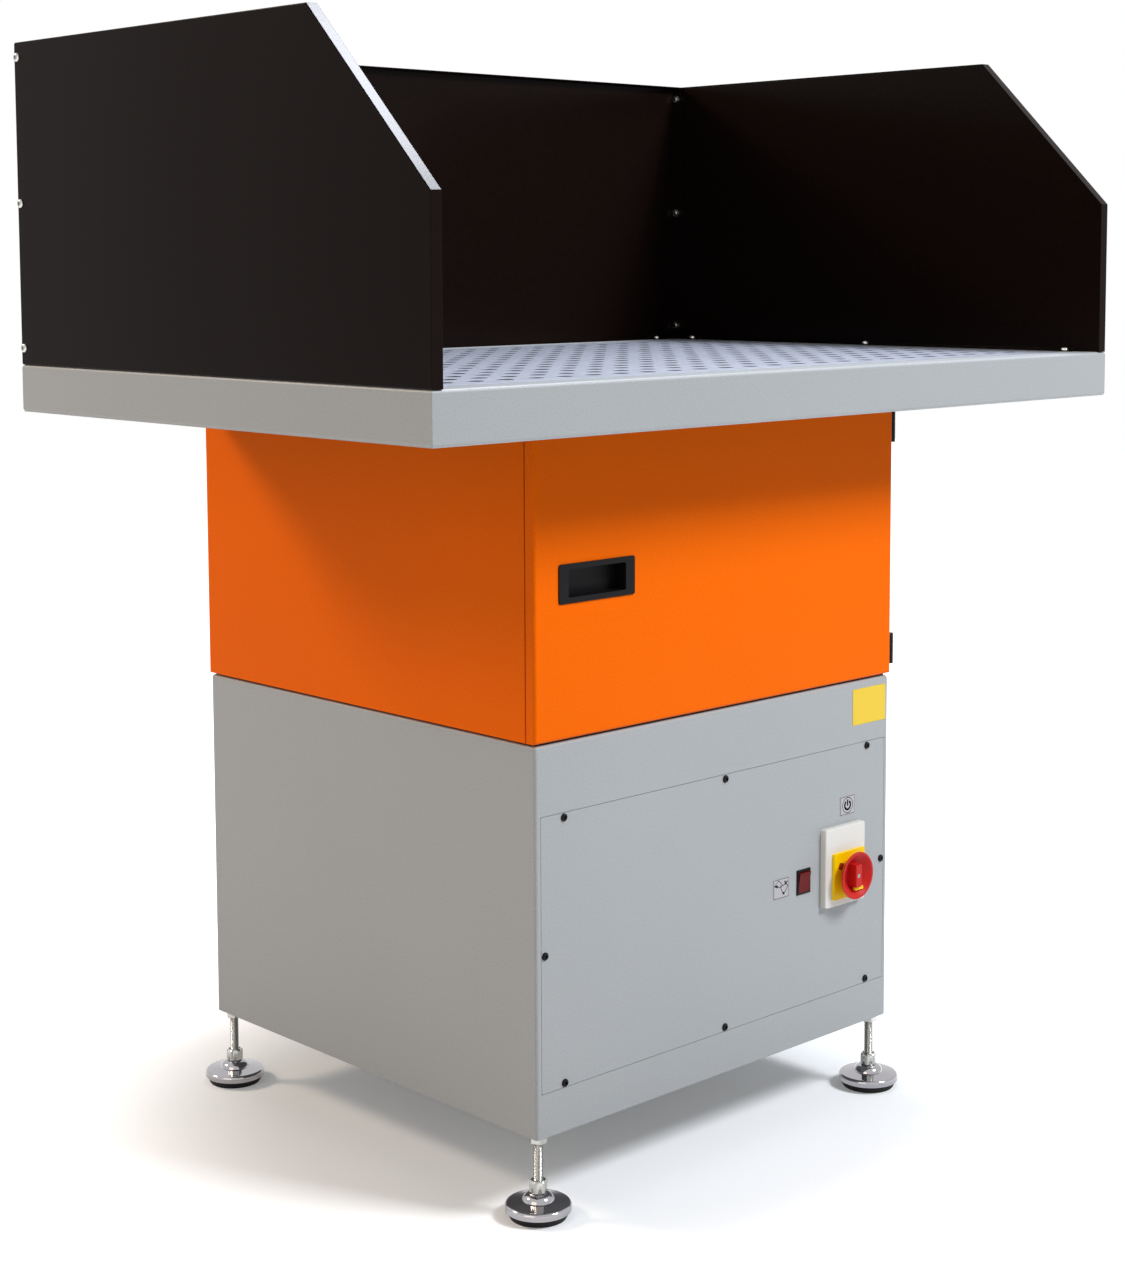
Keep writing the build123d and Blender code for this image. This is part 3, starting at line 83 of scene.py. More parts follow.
# %% Functions that build a material
def add_node(owner, kind, links=None, **settings):
    """Add a node to a material or a world. Settings name properties or inputs; links join inputs."""
    node = owner.node_tree.nodes.new("ShaderNode" + kind)
    for name, value in settings.items():
        if hasattr(node, name):
            setattr(node, name, value)
        else:
            node.inputs[name.replace("_", " ")].default_value = value
    for socket, source in (links or {}).items():
        owner.node_tree.links.new(source, node.inputs[socket])
    return node


def new_material(name):
    """An empty material, to be built up node by node."""
    material = bpy.data.materials.new(name)
    material.use_nodes = True
    material.node_tree.nodes.clear()
    return material


def end_material(material, links, **settings):
    """End a material with a Principled shader that is joined to its output."""
    shader = add_node(material, "BsdfPrincipled", links, **settings)
    add_node(material, "OutputMaterial", {"Surface": shader.outputs["BSDF"]})
    return material


print("materials so far:", len(bpy.data.materials))

# %% [markdown]
# Polyester powder coat is sprayed on dry and melted in an oven. It never flows out quite flat: it
# keeps a leathery texture of about half a millimetre, and on workshop equipment a coarser one is
# chosen because it hides scratches. Half a millimetre is finer than a pixel here, so the grain is
# drawn four times as coarse, which makes the faces look slightly sandy. A second, very large noise
# stands for the slight unevenness of a coat over a whole sheet. The texture also breaks up the
# mirror image of the room, so the coat reflects much less than a smooth paint would. The shine
# value says how much is left, and on black sheet it decides how black it looks.

# %% Powder coat
COAT_GRAIN = 0.5 * MM
COAT_GRAIN_SHOWN = 4 * COAT_GRAIN
COAT_RELIEF = 0.2 * MM
COAT_EDGE = 0.7 * MM
COAT_CLOUD = 260 * MM
COAT_CLOUD_TONE = 0.03
SPECK_STOPS = (0.30, 0.72)


def powder_coat(name, base, dark, light, roughness, shine, speck=0.5, bump=0.12):
    """A baked powder coat: leathery bump, sandy speckle, faint clouds and rounded edges."""
    material = new_material(name)
    place = add_node(material, "TexCoord").outputs["Object"]
    grain = add_node(
        material, "TexNoise", {"Vector": place}, Scale=1 / COAT_GRAIN_SHOWN, Detail=3.0,
    )
    specks = add_node(material, "ValToRGB", {"Fac": grain.outputs["Fac"]})
    for stop, position, tint in zip(specks.color_ramp.elements, SPECK_STOPS, (dark, light)):
        stop.position = position
        stop.color = colour(tint)
    sandy = add_node(
        material, "Mix", {"B": specks.outputs["Color"]},
        data_type="RGBA", Factor=speck, A=colour(base),
    )
    cloud = add_node(material, "TexNoise", {"Vector": place}, Scale=1 / COAT_CLOUD, Detail=2.0)
    level = add_node(
        material, "MapRange", {"Value": cloud.outputs["Fac"]},
        To_Min=1 - COAT_CLOUD_TONE, To_Max=1 + COAT_CLOUD_TONE,
    )
    tints = {"Color": sandy.outputs["Result"], "Value": level.outputs["Result"]}
    tone = add_node(material, "HueSaturation", tints)
    rounded = add_node(material, "Bevel", samples=4, Radius=COAT_EDGE)
    texture = add_node(
        material, "Bump", {"Height": grain.outputs["Fac"], "Normal": rounded.outputs["Normal"]},
        Strength=bump, Distance=COAT_RELIEF,
    )
    surface = {"Base Color": tone.outputs["Color"], "Normal": texture.outputs["Normal"]}
    return end_material(material, surface, Roughness=roughness, Specular_IOR_Level=shine)


GREY_COAT = powder_coat(
    "light_grey_powder_coat", base="#A5AAAD", dark="#979CA0", light="#B4B9BC",
    roughness=0.40, shine=0.30,
)
ORANGE_COAT = powder_coat(
    "orange_powder_coat", base="#F86B00", dark="#EC5F00", light="#FF7700",
    roughness=0.42, shine=0.05, bump=0.09,
)
BLACK_COAT = powder_coat(
    "brown_black_powder_coat", base="#140C0A", dark="#0C0706", light="#1D130F",
    roughness=0.20, shine=0.045, speck=0.6,
)
print("coats:", GREY_COAT.name, ORANGE_COAT.name, BLACK_COAT.name)

# %% [markdown]
# Hot-dip galvanised sheet is steel drawn through molten zinc. The zinc freezes in flat crystals,
# the spangle, 5 to 15 mm across, each of which mirrors a slightly different part of the room. A
# Voronoi texture gives the crystals: every cell gets its own grey and its own slight roughness.
# The sheets under the perforated plate are the same zinc with grinding dust on it, painted darker
# still as painted shade under the plate. In the plate itself the punch has rolled the upper rim of
# every hole round, and below that rim the walls are painted nearly black as painted shade inside the
# hole, so each hole shows a bright lip at the back of a dark mouth.

# %% Galvanised sheet
SPANGLE = 9 * MM
SPANGLE_ROUGHNESS = 0.03
CUT_EDGE = 0.5 * MM
ROLLED_RIM = 1.2 * MM
# Painted shade: below the plate's face the hole walls fade to this near black, for the shade inside
# the holes.
HOLE_SHADE = "#1A1B1F"
HOLE_SHADE_START = 0.1 * MM
HOLE_SHADE_FADE = 0.3 * MM


def galvanised(name, dark, light, roughness, edge=CUT_EDGE, lit_above=None):
    """Zinc spangle: cells of slightly differing tone and roughness, with painted shade below a
    height.
    """
    material = new_material(name)
    place = add_node(material, "TexCoord").outputs["Object"]
    wander = add_node(material, "TexNoise", {"Vector": place}, Scale=1 / SPANGLE, Detail=2.0)
    bent = add_node(
        material, "VectorMath", {0: wander.outputs["Color"]}, operation="SCALE", Scale=SPANGLE / 2,
    )
    moved = add_node(material, "VectorMath", {0: place, 1: bent.outputs["Vector"]}, operation="ADD")
    cells = add_node(material, "TexVoronoi", {"Vector": moved.outputs["Vector"]}, Scale=1 / SPANGLE)
    grey = add_node(material, "RGBToBW", {"Color": cells.outputs["Color"]}).outputs["Val"]
    ramp = add_node(material, "ValToRGB", {"Fac": grey})
    for stop, tint in zip(ramp.color_ramp.elements, (dark, light)):
        stop.color = colour(tint)
    tone = ramp.outputs["Color"]
    if lit_above is not None:
        height = add_node(material, "SeparateXYZ", {"Vector": place}).outputs["Z"]
        unshaded = add_node(
            material, "MapRange", {"Value": height},
            From_Min=lit_above - HOLE_SHADE_FADE, From_Max=lit_above,
        )
        in_shade = add_node(
            material, "Mix", {"Factor": unshaded.outputs["Result"], "B": tone},
            data_type="RGBA", A=colour(HOLE_SHADE),
        )
        tone = in_shade.outputs["Result"]
    rough = add_node(
        material, "MapRange", {"Value": grey},
        To_Min=roughness - SPANGLE_ROUGHNESS, To_Max=roughness + SPANGLE_ROUGHNESS,
    )
    rounded = add_node(material, "Bevel", samples=6, Radius=edge)
    surface = {
        "Base Color": tone,
        "Roughness": rough.outputs["Result"],
        "Normal": rounded.outputs["Normal"],
    }
    return end_material(material, surface, Metallic=1.0)


plate_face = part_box("work_plate")[1].z
GALVANISED = galvanised("galvanised_sheet", dark="#ACB1BE", light="#B8BDCA", roughness=0.50)
# Dust and painted shade: the sheets under the plate are painted dark for the shade that falls there.
DUSTY_SHADED_SHEET = galvanised("dusty_shaded_galvanised_sheet", dark="#45484E", light="#53575E", roughness=0.62)
# Painted shade inside the holes: below the rim the walls turn near black.
PUNCHED_SHEET = galvanised(
    "punched_galvanised_sheet", dark="#9095A2", light="#A1A6B3", roughness=0.60,
    edge=ROLLED_RIM, lit_above=plate_face - HOLE_SHADE_START,
)
print("spangle cells of", SPANGLE / MM, "mm")

# %% [markdown]
# Small steel parts are zinc plated in a bath, which leaves a thin bright layer with a faint
# bluish or yellowish haze. Chrome is plated over polished nickel and is nearly a mirror. The fan
# wheel and the motor are cast aluminium, whose bare skin is matt and blotchy. All are metals, so
# their colour is the colour of their reflection and their IOR stays as Blender has it. One noise
# moves the roughness of each. The nuts and screws between the panels are new and bright, and stand
# out against the black coat, while the screw in the switch's knob has gone dull.


# %% Plated and cast metals
def smudged_metal(name, tint, roughness, smudge, spot):
    """A metal whose roughness rises by up to the smudge value, in spots of a given size."""
    material = new_material(name)
    place = add_node(material, "TexCoord").outputs["Object"]
    haze = add_node(material, "TexNoise", {"Vector": place}, Scale=1 / spot, Detail=4.0)
    rough = add_node(
        material, "MapRange", {"Value": haze.outputs["Fac"]},
        To_Min=roughness, To_Max=roughness + smudge,
    )
    surface = {"Roughness": rough.outputs["Result"]}
    return end_material(material, surface, Base_Color=colour(tint), Metallic=1.0)


ZINC = smudged_metal("zinc_plated_steel", "#B4B4B0", 0.16, smudge=0.10, spot=6 * MM)
BRIGHT_ZINC = smudged_metal("bright_zinc_plated_steel", "#E2E2DE", 0.30, smudge=0.10, spot=6 * MM)
DULL_ZINC = smudged_metal("dull_zinc_plated_steel", "#7E7A79", 0.28, smudge=0.10, spot=6 * MM)
CHROME = smudged_metal("polished_chrome", "#ADABAF", 0.05, smudge=0.05, spot=12 * MM)
CAST_ALUMINIUM = smudged_metal("cast_aluminium", "#A9A9A5", 0.48, smudge=0.20, spot=3 * MM)
print("metals:", ZINC.name, BRIGHT_ZINC.name, DULL_ZINC.name, CHROME.name, CAST_ALUMINIUM.name)

# %% [markdown]
# The filter cassettes are held in frames of mill-finish aluminium profile. The die that the hot
# metal is pressed through leaves fine lines along the profile, about a tenth of a millimetre apart,
# which are drawn twenty times as coarse here, so that they show. A noise that is stretched along
# the profile gives them. Behind the open door the frames mirror the pale floor, so their tint is
# darker than that of bare aluminium, or they would look white.

# %% Aluminium profile
DIE_LINE = 0.1 * MM
DIE_LINE_SHOWN = 20 * DIE_LINE
DIE_LINE_STRETCH = 50
DIE_LINE_RELIEF = 0.2 * MM
DIE_LINE_ROUGHNESS = 0.10


def extruded(name, tint, roughness):
    """A matt aluminium profile with faint lines along X."""
    material = new_material(name)
    place = add_node(material, "TexCoord").outputs["Object"]
    along = add_node(material, "VectorMath", {0: place}, operation="MULTIPLY")
    along.inputs[1].default_value = (1 / DIE_LINE_STRETCH, 1.0, 1.0)
    lines = add_node(
        material, "TexNoise", {"Vector": along.outputs["Vector"]},
        Scale=1 / DIE_LINE_SHOWN, Detail=3.0,
    )
    rough = add_node(
        material, "MapRange", {"Value": lines.outputs["Fac"]},
        To_Min=roughness - DIE_LINE_ROUGHNESS, To_Max=roughness + DIE_LINE_ROUGHNESS,
    )
    texture = add_node(
        material, "Bump", {"Height": lines.outputs["Fac"]}, Strength=0.25, Distance=DIE_LINE_RELIEF,
    )
    surface = {"Roughness": rough.outputs["Result"], "Normal": texture.outputs["Normal"]}
    return end_material(material, surface, Base_Color=colour(tint), Metallic=1.0)


EXTRUDED_ALUMINIUM = extruded("extruded_aluminium", "#85888C", 0.45)
print("profile:", EXTRUDED_ALUMINIUM.name)

# %% [markdown]
# Injection-moulded plastics take the finish of their mould. The handle and the rocker's bezel are
# black nylon with a spark-eroded grain of about 0.3 mm, the switch is smoother polycarbonate on a
# housing of ABS, and rubber is soft and dull. Each is a Principled shader with its own grain, colour
# and roughness. The grain is drawn three times as coarse as it is, so that it shows.

# %% Moulded plastics and rubber
MOULD_GRAIN = 0.3 * MM
MOULD_RELIEF = 0.1 * MM
MOULD_EDGE = 0.3 * MM
TIMES_COARSER = 3
SMOOTHER_BY = 0.04
ROUGHER_BY = 0.06


def moulded(name, tint, roughness, shine=0.4, grain=MOULD_GRAIN, bump=0.1, edge=MOULD_EDGE):
    """A plastic or rubber with an even fine grain and rounded edges."""
    material = new_material(name)
    place = add_node(material, "TexCoord").outputs["Object"]
    noise = add_node(
        material, "TexNoise", {"Vector": place}, Scale=1 / (TIMES_COARSER * grain), Detail=2.0,
    )
    rounded = add_node(material, "Bevel", samples=4, Radius=edge)
    texture = add_node(
        material, "Bump", {"Height": noise.outputs["Fac"], "Normal": rounded.outputs["Normal"]},
        Strength=bump, Distance=MOULD_RELIEF,
    )
    rough = add_node(
        material, "MapRange", {"Value": noise.outputs["Fac"]},
        To_Min=roughness - SMOOTHER_BY, To_Max=roughness + ROUGHER_BY,
    )
    surface = {"Roughness": rough.outputs["Result"], "Normal": texture.outputs["Normal"]}
    return end_material(material, surface, Base_Color=colour(tint), Specular_IOR_Level=shine)


BLACK_NYLON = moulded("black_nylon", "#0C0C0E", 0.45, shine=0.1, bump=0.25)
OFF_WHITE_ABS = moulded("off_white_abs", "#DCDCD8", 0.34, edge=0.6 * MM)
YELLOW_POLYCARBONATE = moulded("yellow_polycarbonate", "#FFD400", 0.34, shine=0.12)
RED_POLYCARBONATE = moulded("red_polycarbonate", "#C42420", 0.40, shine=0.14, edge=0.5 * MM)
DARK_RED_LENS = moulded("dark_red_rocker_lens", "#631517", 0.38, shine=0.07, bump=0.05)
BLACK_RUBBER = moulded("black_rubber", "#121113", 0.62, shine=0.2, grain=0.5 * MM, bump=0.3)
print("plastics:", BLACK_NYLON.name, OFF_WHITE_ABS.name, RED_POLYCARBONATE.name)

# %% [markdown]
# The hinges, the outlet's grille and the panel's screws are painted black. The signs and the yellow
# plate are films, and the signs are printed with ink. Paint, film and ink are thin, even layers, so
# the same function makes them, with less grain. Ink lies dead flat, has sharp edges and hardly
# shines.

# %% Paint, film and ink
INK_EDGE = 0.01 * MM


def ink(name, tint, roughness, shine):
    """A printed layer without grain."""
    return moulded(name, tint, roughness, shine=shine, bump=0.0, edge=INK_EDGE)


BLACK_METAL = moulded("black_painted_metal", "#0C0C0E", 0.38, shine=0.12)
PRINTED_FILM = moulded("printed_film", "#B6B6BC", 0.40, shine=0.2, bump=0.03)
YELLOW_FILM = moulded("yellow_vinyl_film", "#EBCB45", 0.45, shine=0.15, bump=0.03)
BLACK_INK = ink("black_screen_ink", "#060608", 0.6, shine=0.03)
INDEX_BROWN = ink("index_brown", "#45170D", 0.5, shine=0.05)
INDEX_RED = ink("index_red", "#AA361C", 0.5, shine=0.05)
print("thin layers:", BLACK_METAL.name, PRINTED_FILM.name, YELLOW_FILM.name, BLACK_INK.name)

# %% [markdown]
# Filter media are matted fibres. The fine filter is a white fleece and the coarse pre-filter a
# grey mat. Fleece scatters light inside, so it has no shine, and a little sheen stands for the
# loose fibres on its surface.

# %% Filter media
FLEECE_RELIEF = 1.0 * MM


def fleece(name, tint, fibre):
    """A matted fibre surface, rough and slightly fuzzy."""
    material = new_material(name)
    place = add_node(material, "TexCoord").outputs["Object"]
    fibres = add_node(
        material, "TexNoise", {"Vector": place}, Scale=1 / fibre, Detail=6.0, Roughness=0.7,
    )
    texture = add_node(
        material, "Bump", {"Height": fibres.outputs["Fac"]}, Strength=0.6, Distance=FLEECE_RELIEF,
    )
    return end_material(
        material, {"Normal": texture.outputs["Normal"]},
        Base_Color=colour(tint), Roughness=0.92, Sheen_Weight=0.25,
    )


WHITE_FLEECE = fleece("white_filter_fleece", "#E4E2DA", 4 * MM)
GREY_MAT = fleece("grey_prefilter_mat", "#8C8E8C", 3 * MM)
print("filter media:", WHITE_FLEECE.name, GREY_MAT.name)

# %% [markdown]
# The record says which finish each solid has, by the name of a slot. So the materials are handed
# out by slot, and no solid can be forgotten: the loop stops with an error if a slot is unknown.
# Some solids differ from the rest of their slot: four galvanised sheets, the punched plate whose
# hole walls carry painted shade and the three sheets under it, which carry dust and painted shade,
# the brighter and the duller screws, and the yellow plate on the cabinet, which is a vinyl film where
# the yellow plates of the switch are moulded.

# %% Finish for every solid
FINISH = {
    "grey_powder_coat": GREY_COAT,
    "orange_powder_coat": ORANGE_COAT,
    "black_powder_coat": BLACK_COAT,
    "black_metal": BLACK_METAL,
    "galvanised_sheet": GALVANISED,
    "zinc_steel": ZINC,
    "chrome": CHROME,
    "cast_aluminium": CAST_ALUMINIUM,
    "filter_frame_metal": EXTRUDED_ALUMINIUM,
    "filter_medium": WHITE_FLEECE,
    "filter_mat": GREY_MAT,
    "black_rubber": BLACK_RUBBER,
    "black_plastic": BLACK_NYLON,
    "off_white_plastic": OFF_WHITE_ABS,
    "yellow_plastic": YELLOW_POLYCARBONATE,
    "red_plastic": RED_POLYCARBONATE,
    "dark_red_plastic": DARK_RED_LENS,
    "sign_plate": PRINTED_FILM,
}
OWN_FINISH = {
    "work_plate": PUNCHED_SHEET,
    "plate_support_bars": DUSTY_SHADED_SHEET,
    "collecting_pan": DUSTY_SHADED_SHEET,
    "spark_baffle": DUSTY_SHADED_SHEET,
    "tag_plate": YELLOW_FILM,
    "corner_nuts": BRIGHT_ZINC,
    "base_screws": BRIGHT_ZINC,
    "knob_screw": DULL_ZINC,
}
for part in frame["record"]["subparts"]:
    solid = frame["nodes"][part["node"]]
    solid.data.materials.clear()
    slot_finish = FINISH[part["material_slot"]]
    solid.data.materials.append(OWN_FINISH.get(part["node"], slot_finish))

# %% [markdown]
# Every piece made here is a closed mesh with real thickness. Most are built in one way: rings of
# points, one behind the other, are joined by side faces and closed at both ends. One function does
# that. Another turns the finished shape into an object, gives it its material and lets it ride on
# the body that carries it.

# %% Functions that make a piece
SHARP_ANGLE = 35


def new_object(name, data):
    """Put a mesh, a camera or a lamp into the scene."""
    thing = bpy.data.objects.new(name, data)
    bpy.context.scene.collection.objects.link(thing)
    return thing


def add_skin(shape, rings, closed=False):
    """Join rings of points by side faces, and cap both ends unless the last ring meets the first."""
    following = rings[1:] + rings[:1] if closed else rings[1:]
    for first, second in zip(rings, following):
        for side in range(len(first)):
            after = (side + 1) % len(first)
            shape.faces.new((first[side], first[after], second[after], second[side]))
    if not closed:
        shape.faces.new(reversed(rings[0]))
        shape.faces.new(rings[-1])


def finish_piece(name, shape, material, body):
    """Turn a bmesh into a piece of the object that rides on a body."""
    bmesh.ops.recalc_face_normals(shape, faces=shape.faces)
    mesh = bpy.data.meshes.new(name)
    shape.to_mesh(mesh)
    shape.free()
    piece = new_object(name, mesh)
    mesh.materials.append(material)
    for face in mesh.polygons:
        face.use_smooth = True
    mesh.set_sharp_from_angle(angle=math.radians(SHARP_ANGLE))
    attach(piece, body)
    return piece


print("pieces keep edges of more than", SHARP_ANGLE, "degrees sharp")

# %% [markdown]
# Two pictogram films sit on the cabinet. Ink lies on a film, so each printed line is a flat strip a
# twentieth of a millimetre thick on the film's own face. A strip follows a path of points, each with
# a place across and a height, and both films have a thin printed border that is drawn in this way.

# %% Printed lines
INK = 0.05 * MM
BORDER_INSET = 1.0 * MM
BORDER_WIDTH = 0.8 * MM
films_low, films_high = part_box("pictogram_plates")
films_middle = (films_low.x + films_high.x) / 2


def film_box(side):
    """Left, right, bottom and top of the film on the left (-1) or on the right (1)."""
    corners = [v.co for v in frame["nodes"]["pictogram_plates"].data.vertices]
    across = [c.x for c in corners if (c.x - films_middle) * side > 0]
    heights = [c.z for c in corners if (c.x - films_middle) * side > 0]
    return min(across), max(across), min(heights), max(heights)


def add_strip(shape, path, width, closed=False):
    """Add a printed line along (x, z) points, on the face of the films."""
    points = [Vector(point) for point in path]
    rings = []
    for index, point in enumerate(points):
        before = points[index - 1] if closed or index else point
        after = points[(index + 1) % len(points)] if closed or index < len(points) - 1 else point
        along = (after - before).normalized()
        flank = Vector((-along.y, along.x)) * width / 2
        ring = []
        for side, depth in ((1, 0), (-1, 0), (-1, INK), (1, INK)):
            spot = point + side * flank
            ring.append(shape.verts.new((spot.x, films_low.y - depth, spot.y)))
        rings.append(ring)
    add_skin(shape, rings, closed)


def add_border(shape, side):
    """A thin closed rectangle just inside a film's edge."""
    left, right, bottom, top = film_box(side)
    left, right = left + BORDER_INSET, right - BORDER_INSET
    bottom, top = bottom + BORDER_INSET, top - BORDER_INSET
    corners = [(left, bottom), (right, bottom), (right, top), (left, top)]
    add_strip(shape, corners, BORDER_WIDTH, closed=True)


print("films on the cabinet's front at y =", round(films_low.y / MM, 2), "mm")

# %% [markdown]
# The upper film marks the main switch with the common sign for power, a broken ring and a stroke,
# inside a thin ring. Arcs are worked out as short straight steps.

# %% Power sign
RING_RADIUS = 10.4 * MM
RING_WIDTH = 0.9 * MM
POWER_RADIUS = 5.8 * MM
POWER_WIDTH = 2.9 * MM
POWER_GAP = 64
STROKE_WIDTH = 2.6 * MM
STROKE_BOTTOM = -0.8 * MM
STROKE_TOP = 7.8 * MM
ARC_STEPS = 28


def arc(centre, radius, start, end):
    """Points on an arc between two angles in degrees."""
    angles = [math.radians(start + (end - start) * step / ARC_STEPS) for step in range(ARC_STEPS + 1)]
    return [(centre[0] + radius * math.cos(a), centre[1] + radius * math.sin(a)) for a in angles]


def print_power_sign():
    """The power sign in its ring and its border."""
    left, right, bottom, top = film_box(1)
    x, z = (left + right) / 2, (bottom + top) / 2
    gap_end = 90 + POWER_GAP / 2
    shape = bmesh.new()
    add_border(shape, 1)
    add_strip(shape, arc((x, z), RING_RADIUS, 0, 360)[:-1], RING_WIDTH, closed=True)
    add_strip(shape, arc((x, z), POWER_RADIUS, gap_end, gap_end + 360 - POWER_GAP), POWER_WIDTH)
    add_strip(shape, [(x, z + STROKE_BOTTOM), (x, z + STROKE_TOP)], STROKE_WIDTH)
    finish_piece("power_sign_ink", shape, BLACK_INK, "table")


print_power_sign()
print("power sign in a ring of", round(2 * RING_RADIUS / MM, 1), "mm")

# %% [markdown]
# The lower film marks the lamp switch, with a bulb that points down, a tilted shade beside it and a
# small cross. Its lines are listed, each as a width and then points, in millimetres across and down
# from the film's top left corner.

# %% Lamp sign
SHADE = (1.1, (9.8, 2.2), (4.2, 6.2), (11.4, 11.6), (16.6, 8.0))
SHADE_SECOND_EDGE = (1.2, (12.9, 12.5), (18.2, 9.0))
DASH = (2.3, (2.2, 8.0), (8.2, 10.6))
CROSS_FALLING = (1.8, (21.4, 4.4), (24.9, 8.6))
CROSS_RISING = (1.8, (27.4, 5.2), (22.6, 8.6))
BULB_TOP = (1.2, (18.4, 10.2), (21.2, 8.9), (24.4, 8.8), (27.4, 10.6), (28.2, 12.4))
BULB_RIGHT = (1.1, (27.4, 12.4), (24.8, 16.1), (21.4, 19.6))
BULB_LEFT = (1.1, (14.6, 13.2), (16.2, 16.3), (18.0, 19.6))
BULB_CAP = (3.4, (19.7, 18.8), (19.7, 22.0))
OPEN_LINES = (
    SHADE_SECOND_EDGE, DASH, CROSS_FALLING, CROSS_RISING, BULB_TOP, BULB_RIGHT, BULB_LEFT, BULB_CAP,
)


def print_lamp_sign():
    """A bulb with its cap below, a tilted shade with a double edge, a dash and a cross."""
    left, _, _, top = film_box(-1)
    shape = bmesh.new()
    add_border(shape, -1)
    for line in (SHADE, *OPEN_LINES):
        width, *points = line
        path = [(left + across * MM, top - down * MM) for across, down in points]
        add_strip(shape, path, width * MM, closed=line is SHADE)
    finish_piece("lamp_sign_ink", shape, BLACK_INK, "table")


print_lamp_sign()
print("lamp sign drawn in", 1 + len(OPEN_LINES), "lines")

# %% [markdown]
# The yellow plate of the main switch carries a small mark that the knob's pointer meets: a skewed
# square, dark red with a brown edge. It is made of two films, a brown one and a smaller red one that
# is twice as thick and so stands clear of it.

# %% Index mark on the switch plate
MARK_CORNERS = ((-6.2, -2.1), (1.2, -5.6), (6.4, 2.6), (-2.5, 5.3))
MARK_FROM_LEFT = 13.2 * MM
MARK_FROM_TOP = 17.8 * MM
MARK_FIELD_SHARE = 0.78
plate_low, plate_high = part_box("switch_plate")


def add_mark(name, share, depth, material):
    """A film with the mark's outline at a share of its size, up to a depth in front of the plate."""
    middle_x, middle_z = plate_low.x + MARK_FROM_LEFT, plate_high.z - MARK_FROM_TOP
    corners = [(middle_x + x * share * MM, middle_z + z * share * MM) for x, z in MARK_CORNERS]
    shape = bmesh.new()
    front = [shape.verts.new((x, plate_low.y - depth, z)) for x, z in corners]
    back = [shape.verts.new((x, plate_low.y, z)) for x, z in corners]
    add_skin(shape, [front, back])
    finish_piece(name, shape, material, "table")


add_mark("index_mark_edge", 1.0, INK, INDEX_BROWN)
add_mark("index_mark_field", MARK_FIELD_SHARE, 2 * INK, INDEX_RED)
print("index mark on a plate", round((plate_high.x - plate_low.x) / MM, 1), "mm wide")

# %% [markdown]
# The service panel lies in its opening with half a millimetre of gap all round. Black bars on the
# flange behind fill the bottom of that gap as painted shade, so that the joint reads as a dark line.

# %% Painted shade in the joint of the service panel
# Painted shade: black bars fill the bottom of the service panel's gap.
GAP_SHADE_WIDTH = 0.3 * MM
GAP_SHADE_FROM_PANEL = 0.1 * MM
GAP_SHADE_FROM_FACE = 0.4 * MM


def add_bar(shape, low, high):
    """A straight bar between two opposite corners."""
    size = Vector(high) - Vector(low)
    place = Matrix.Translation((Vector(low) + Vector(high)) / 2)
    bmesh.ops.create_cube(shape, size=1.0, matrix=place @ Matrix.Diagonal((*size, 1.0)))


def make_panel_gap_shade():
    """Four black bars round the panel's edge, from the flange nearly to its face: painted shade."""
    low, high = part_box("service_panel")
    front, back = low.y + GAP_SHADE_FROM_FACE, high.y
    inner, outer = GAP_SHADE_FROM_PANEL, GAP_SHADE_FROM_PANEL + GAP_SHADE_WIDTH
    shape = bmesh.new()
    for bottom, top in ((low.z - outer, low.z - inner), (high.z + inner, high.z + outer)):
        add_bar(shape, (low.x - outer, front, bottom), (high.x + outer, back, top))
    for left, right in ((low.x - outer, low.x - inner), (high.x + inner, high.x + outer)):
        add_bar(shape, (left, front, low.z - inner), (right, back, high.z + inner))
    finish_piece("service_panel_gap_shade", shape, BLACK_RUBBER, "table")


make_panel_gap_shade()
print("seal", GAP_SHADE_WIDTH / MM, "mm wide round the service panel")

# %% [markdown]
# With the door open one looks at the front of the two filter cassettes. The large lower one has two
# beads pressed into its frame, which keep the thin profile from buckling. Each is a low ridge with
# sloping sides and ends, so it is three rings of four corners: one inside the metal, one on its
# face, and a smaller one in front of it.

# %% Beads on the filter frame
BEAD_WIDTH = 14 * MM
BEAD_PROUD = 2 * MM
BEAD_SLOPE = 3 * MM
BEAD_ROOT = 0.5 * MM
BEAD_END = 45 * MM
cassette_low, cassette_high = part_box("main_filter_frame")
cassette_height = cassette_high.z - cassette_low.z


def add_bead(shape, height):
    """One pressed bead along the cassette's front, at a height."""
    left, right = cassette_low.x + BEAD_END, cassette_high.x - BEAD_END
    rings = []
    for proud, inset in ((-BEAD_ROOT, 0), (0, 0), (BEAD_PROUD, BEAD_SLOPE)):
        first, last, half = left + inset, right - inset, BEAD_WIDTH / 2 - inset
        corners = ((first, -half), (last, -half), (last, half), (first, half))
        rings.append([shape.verts.new((x, cassette_low.y - proud, height + z)) for x, z in corners])
    add_skin(shape, rings)


def make_beads():
    """Two beads, a quarter of the cassette's height from its bottom and from its top."""
    shape = bmesh.new()
    add_bead(shape, cassette_low.z + cassette_height / 4)
    add_bead(shape, cassette_high.z - cassette_height / 4)
    finish_piece("filter_frame_beads", shape, EXTRUDED_ALUMINIUM, "table")


make_beads()
print("cassette front", round((cassette_high.x - cassette_low.x) / MM, 1), "mm wide")

# %% [markdown]
# Air must not slip past the filters. A strip of black foam seals the joint between the two
# cassettes, and another runs along the bottom of the lower one, where it stands on its seat.

# %% Foam strips on the cassettes
FOAM_PROUD = 1.2 * MM
FOAM_ROOT = 1.0 * MM
FOAM_HEIGHT = 5 * MM


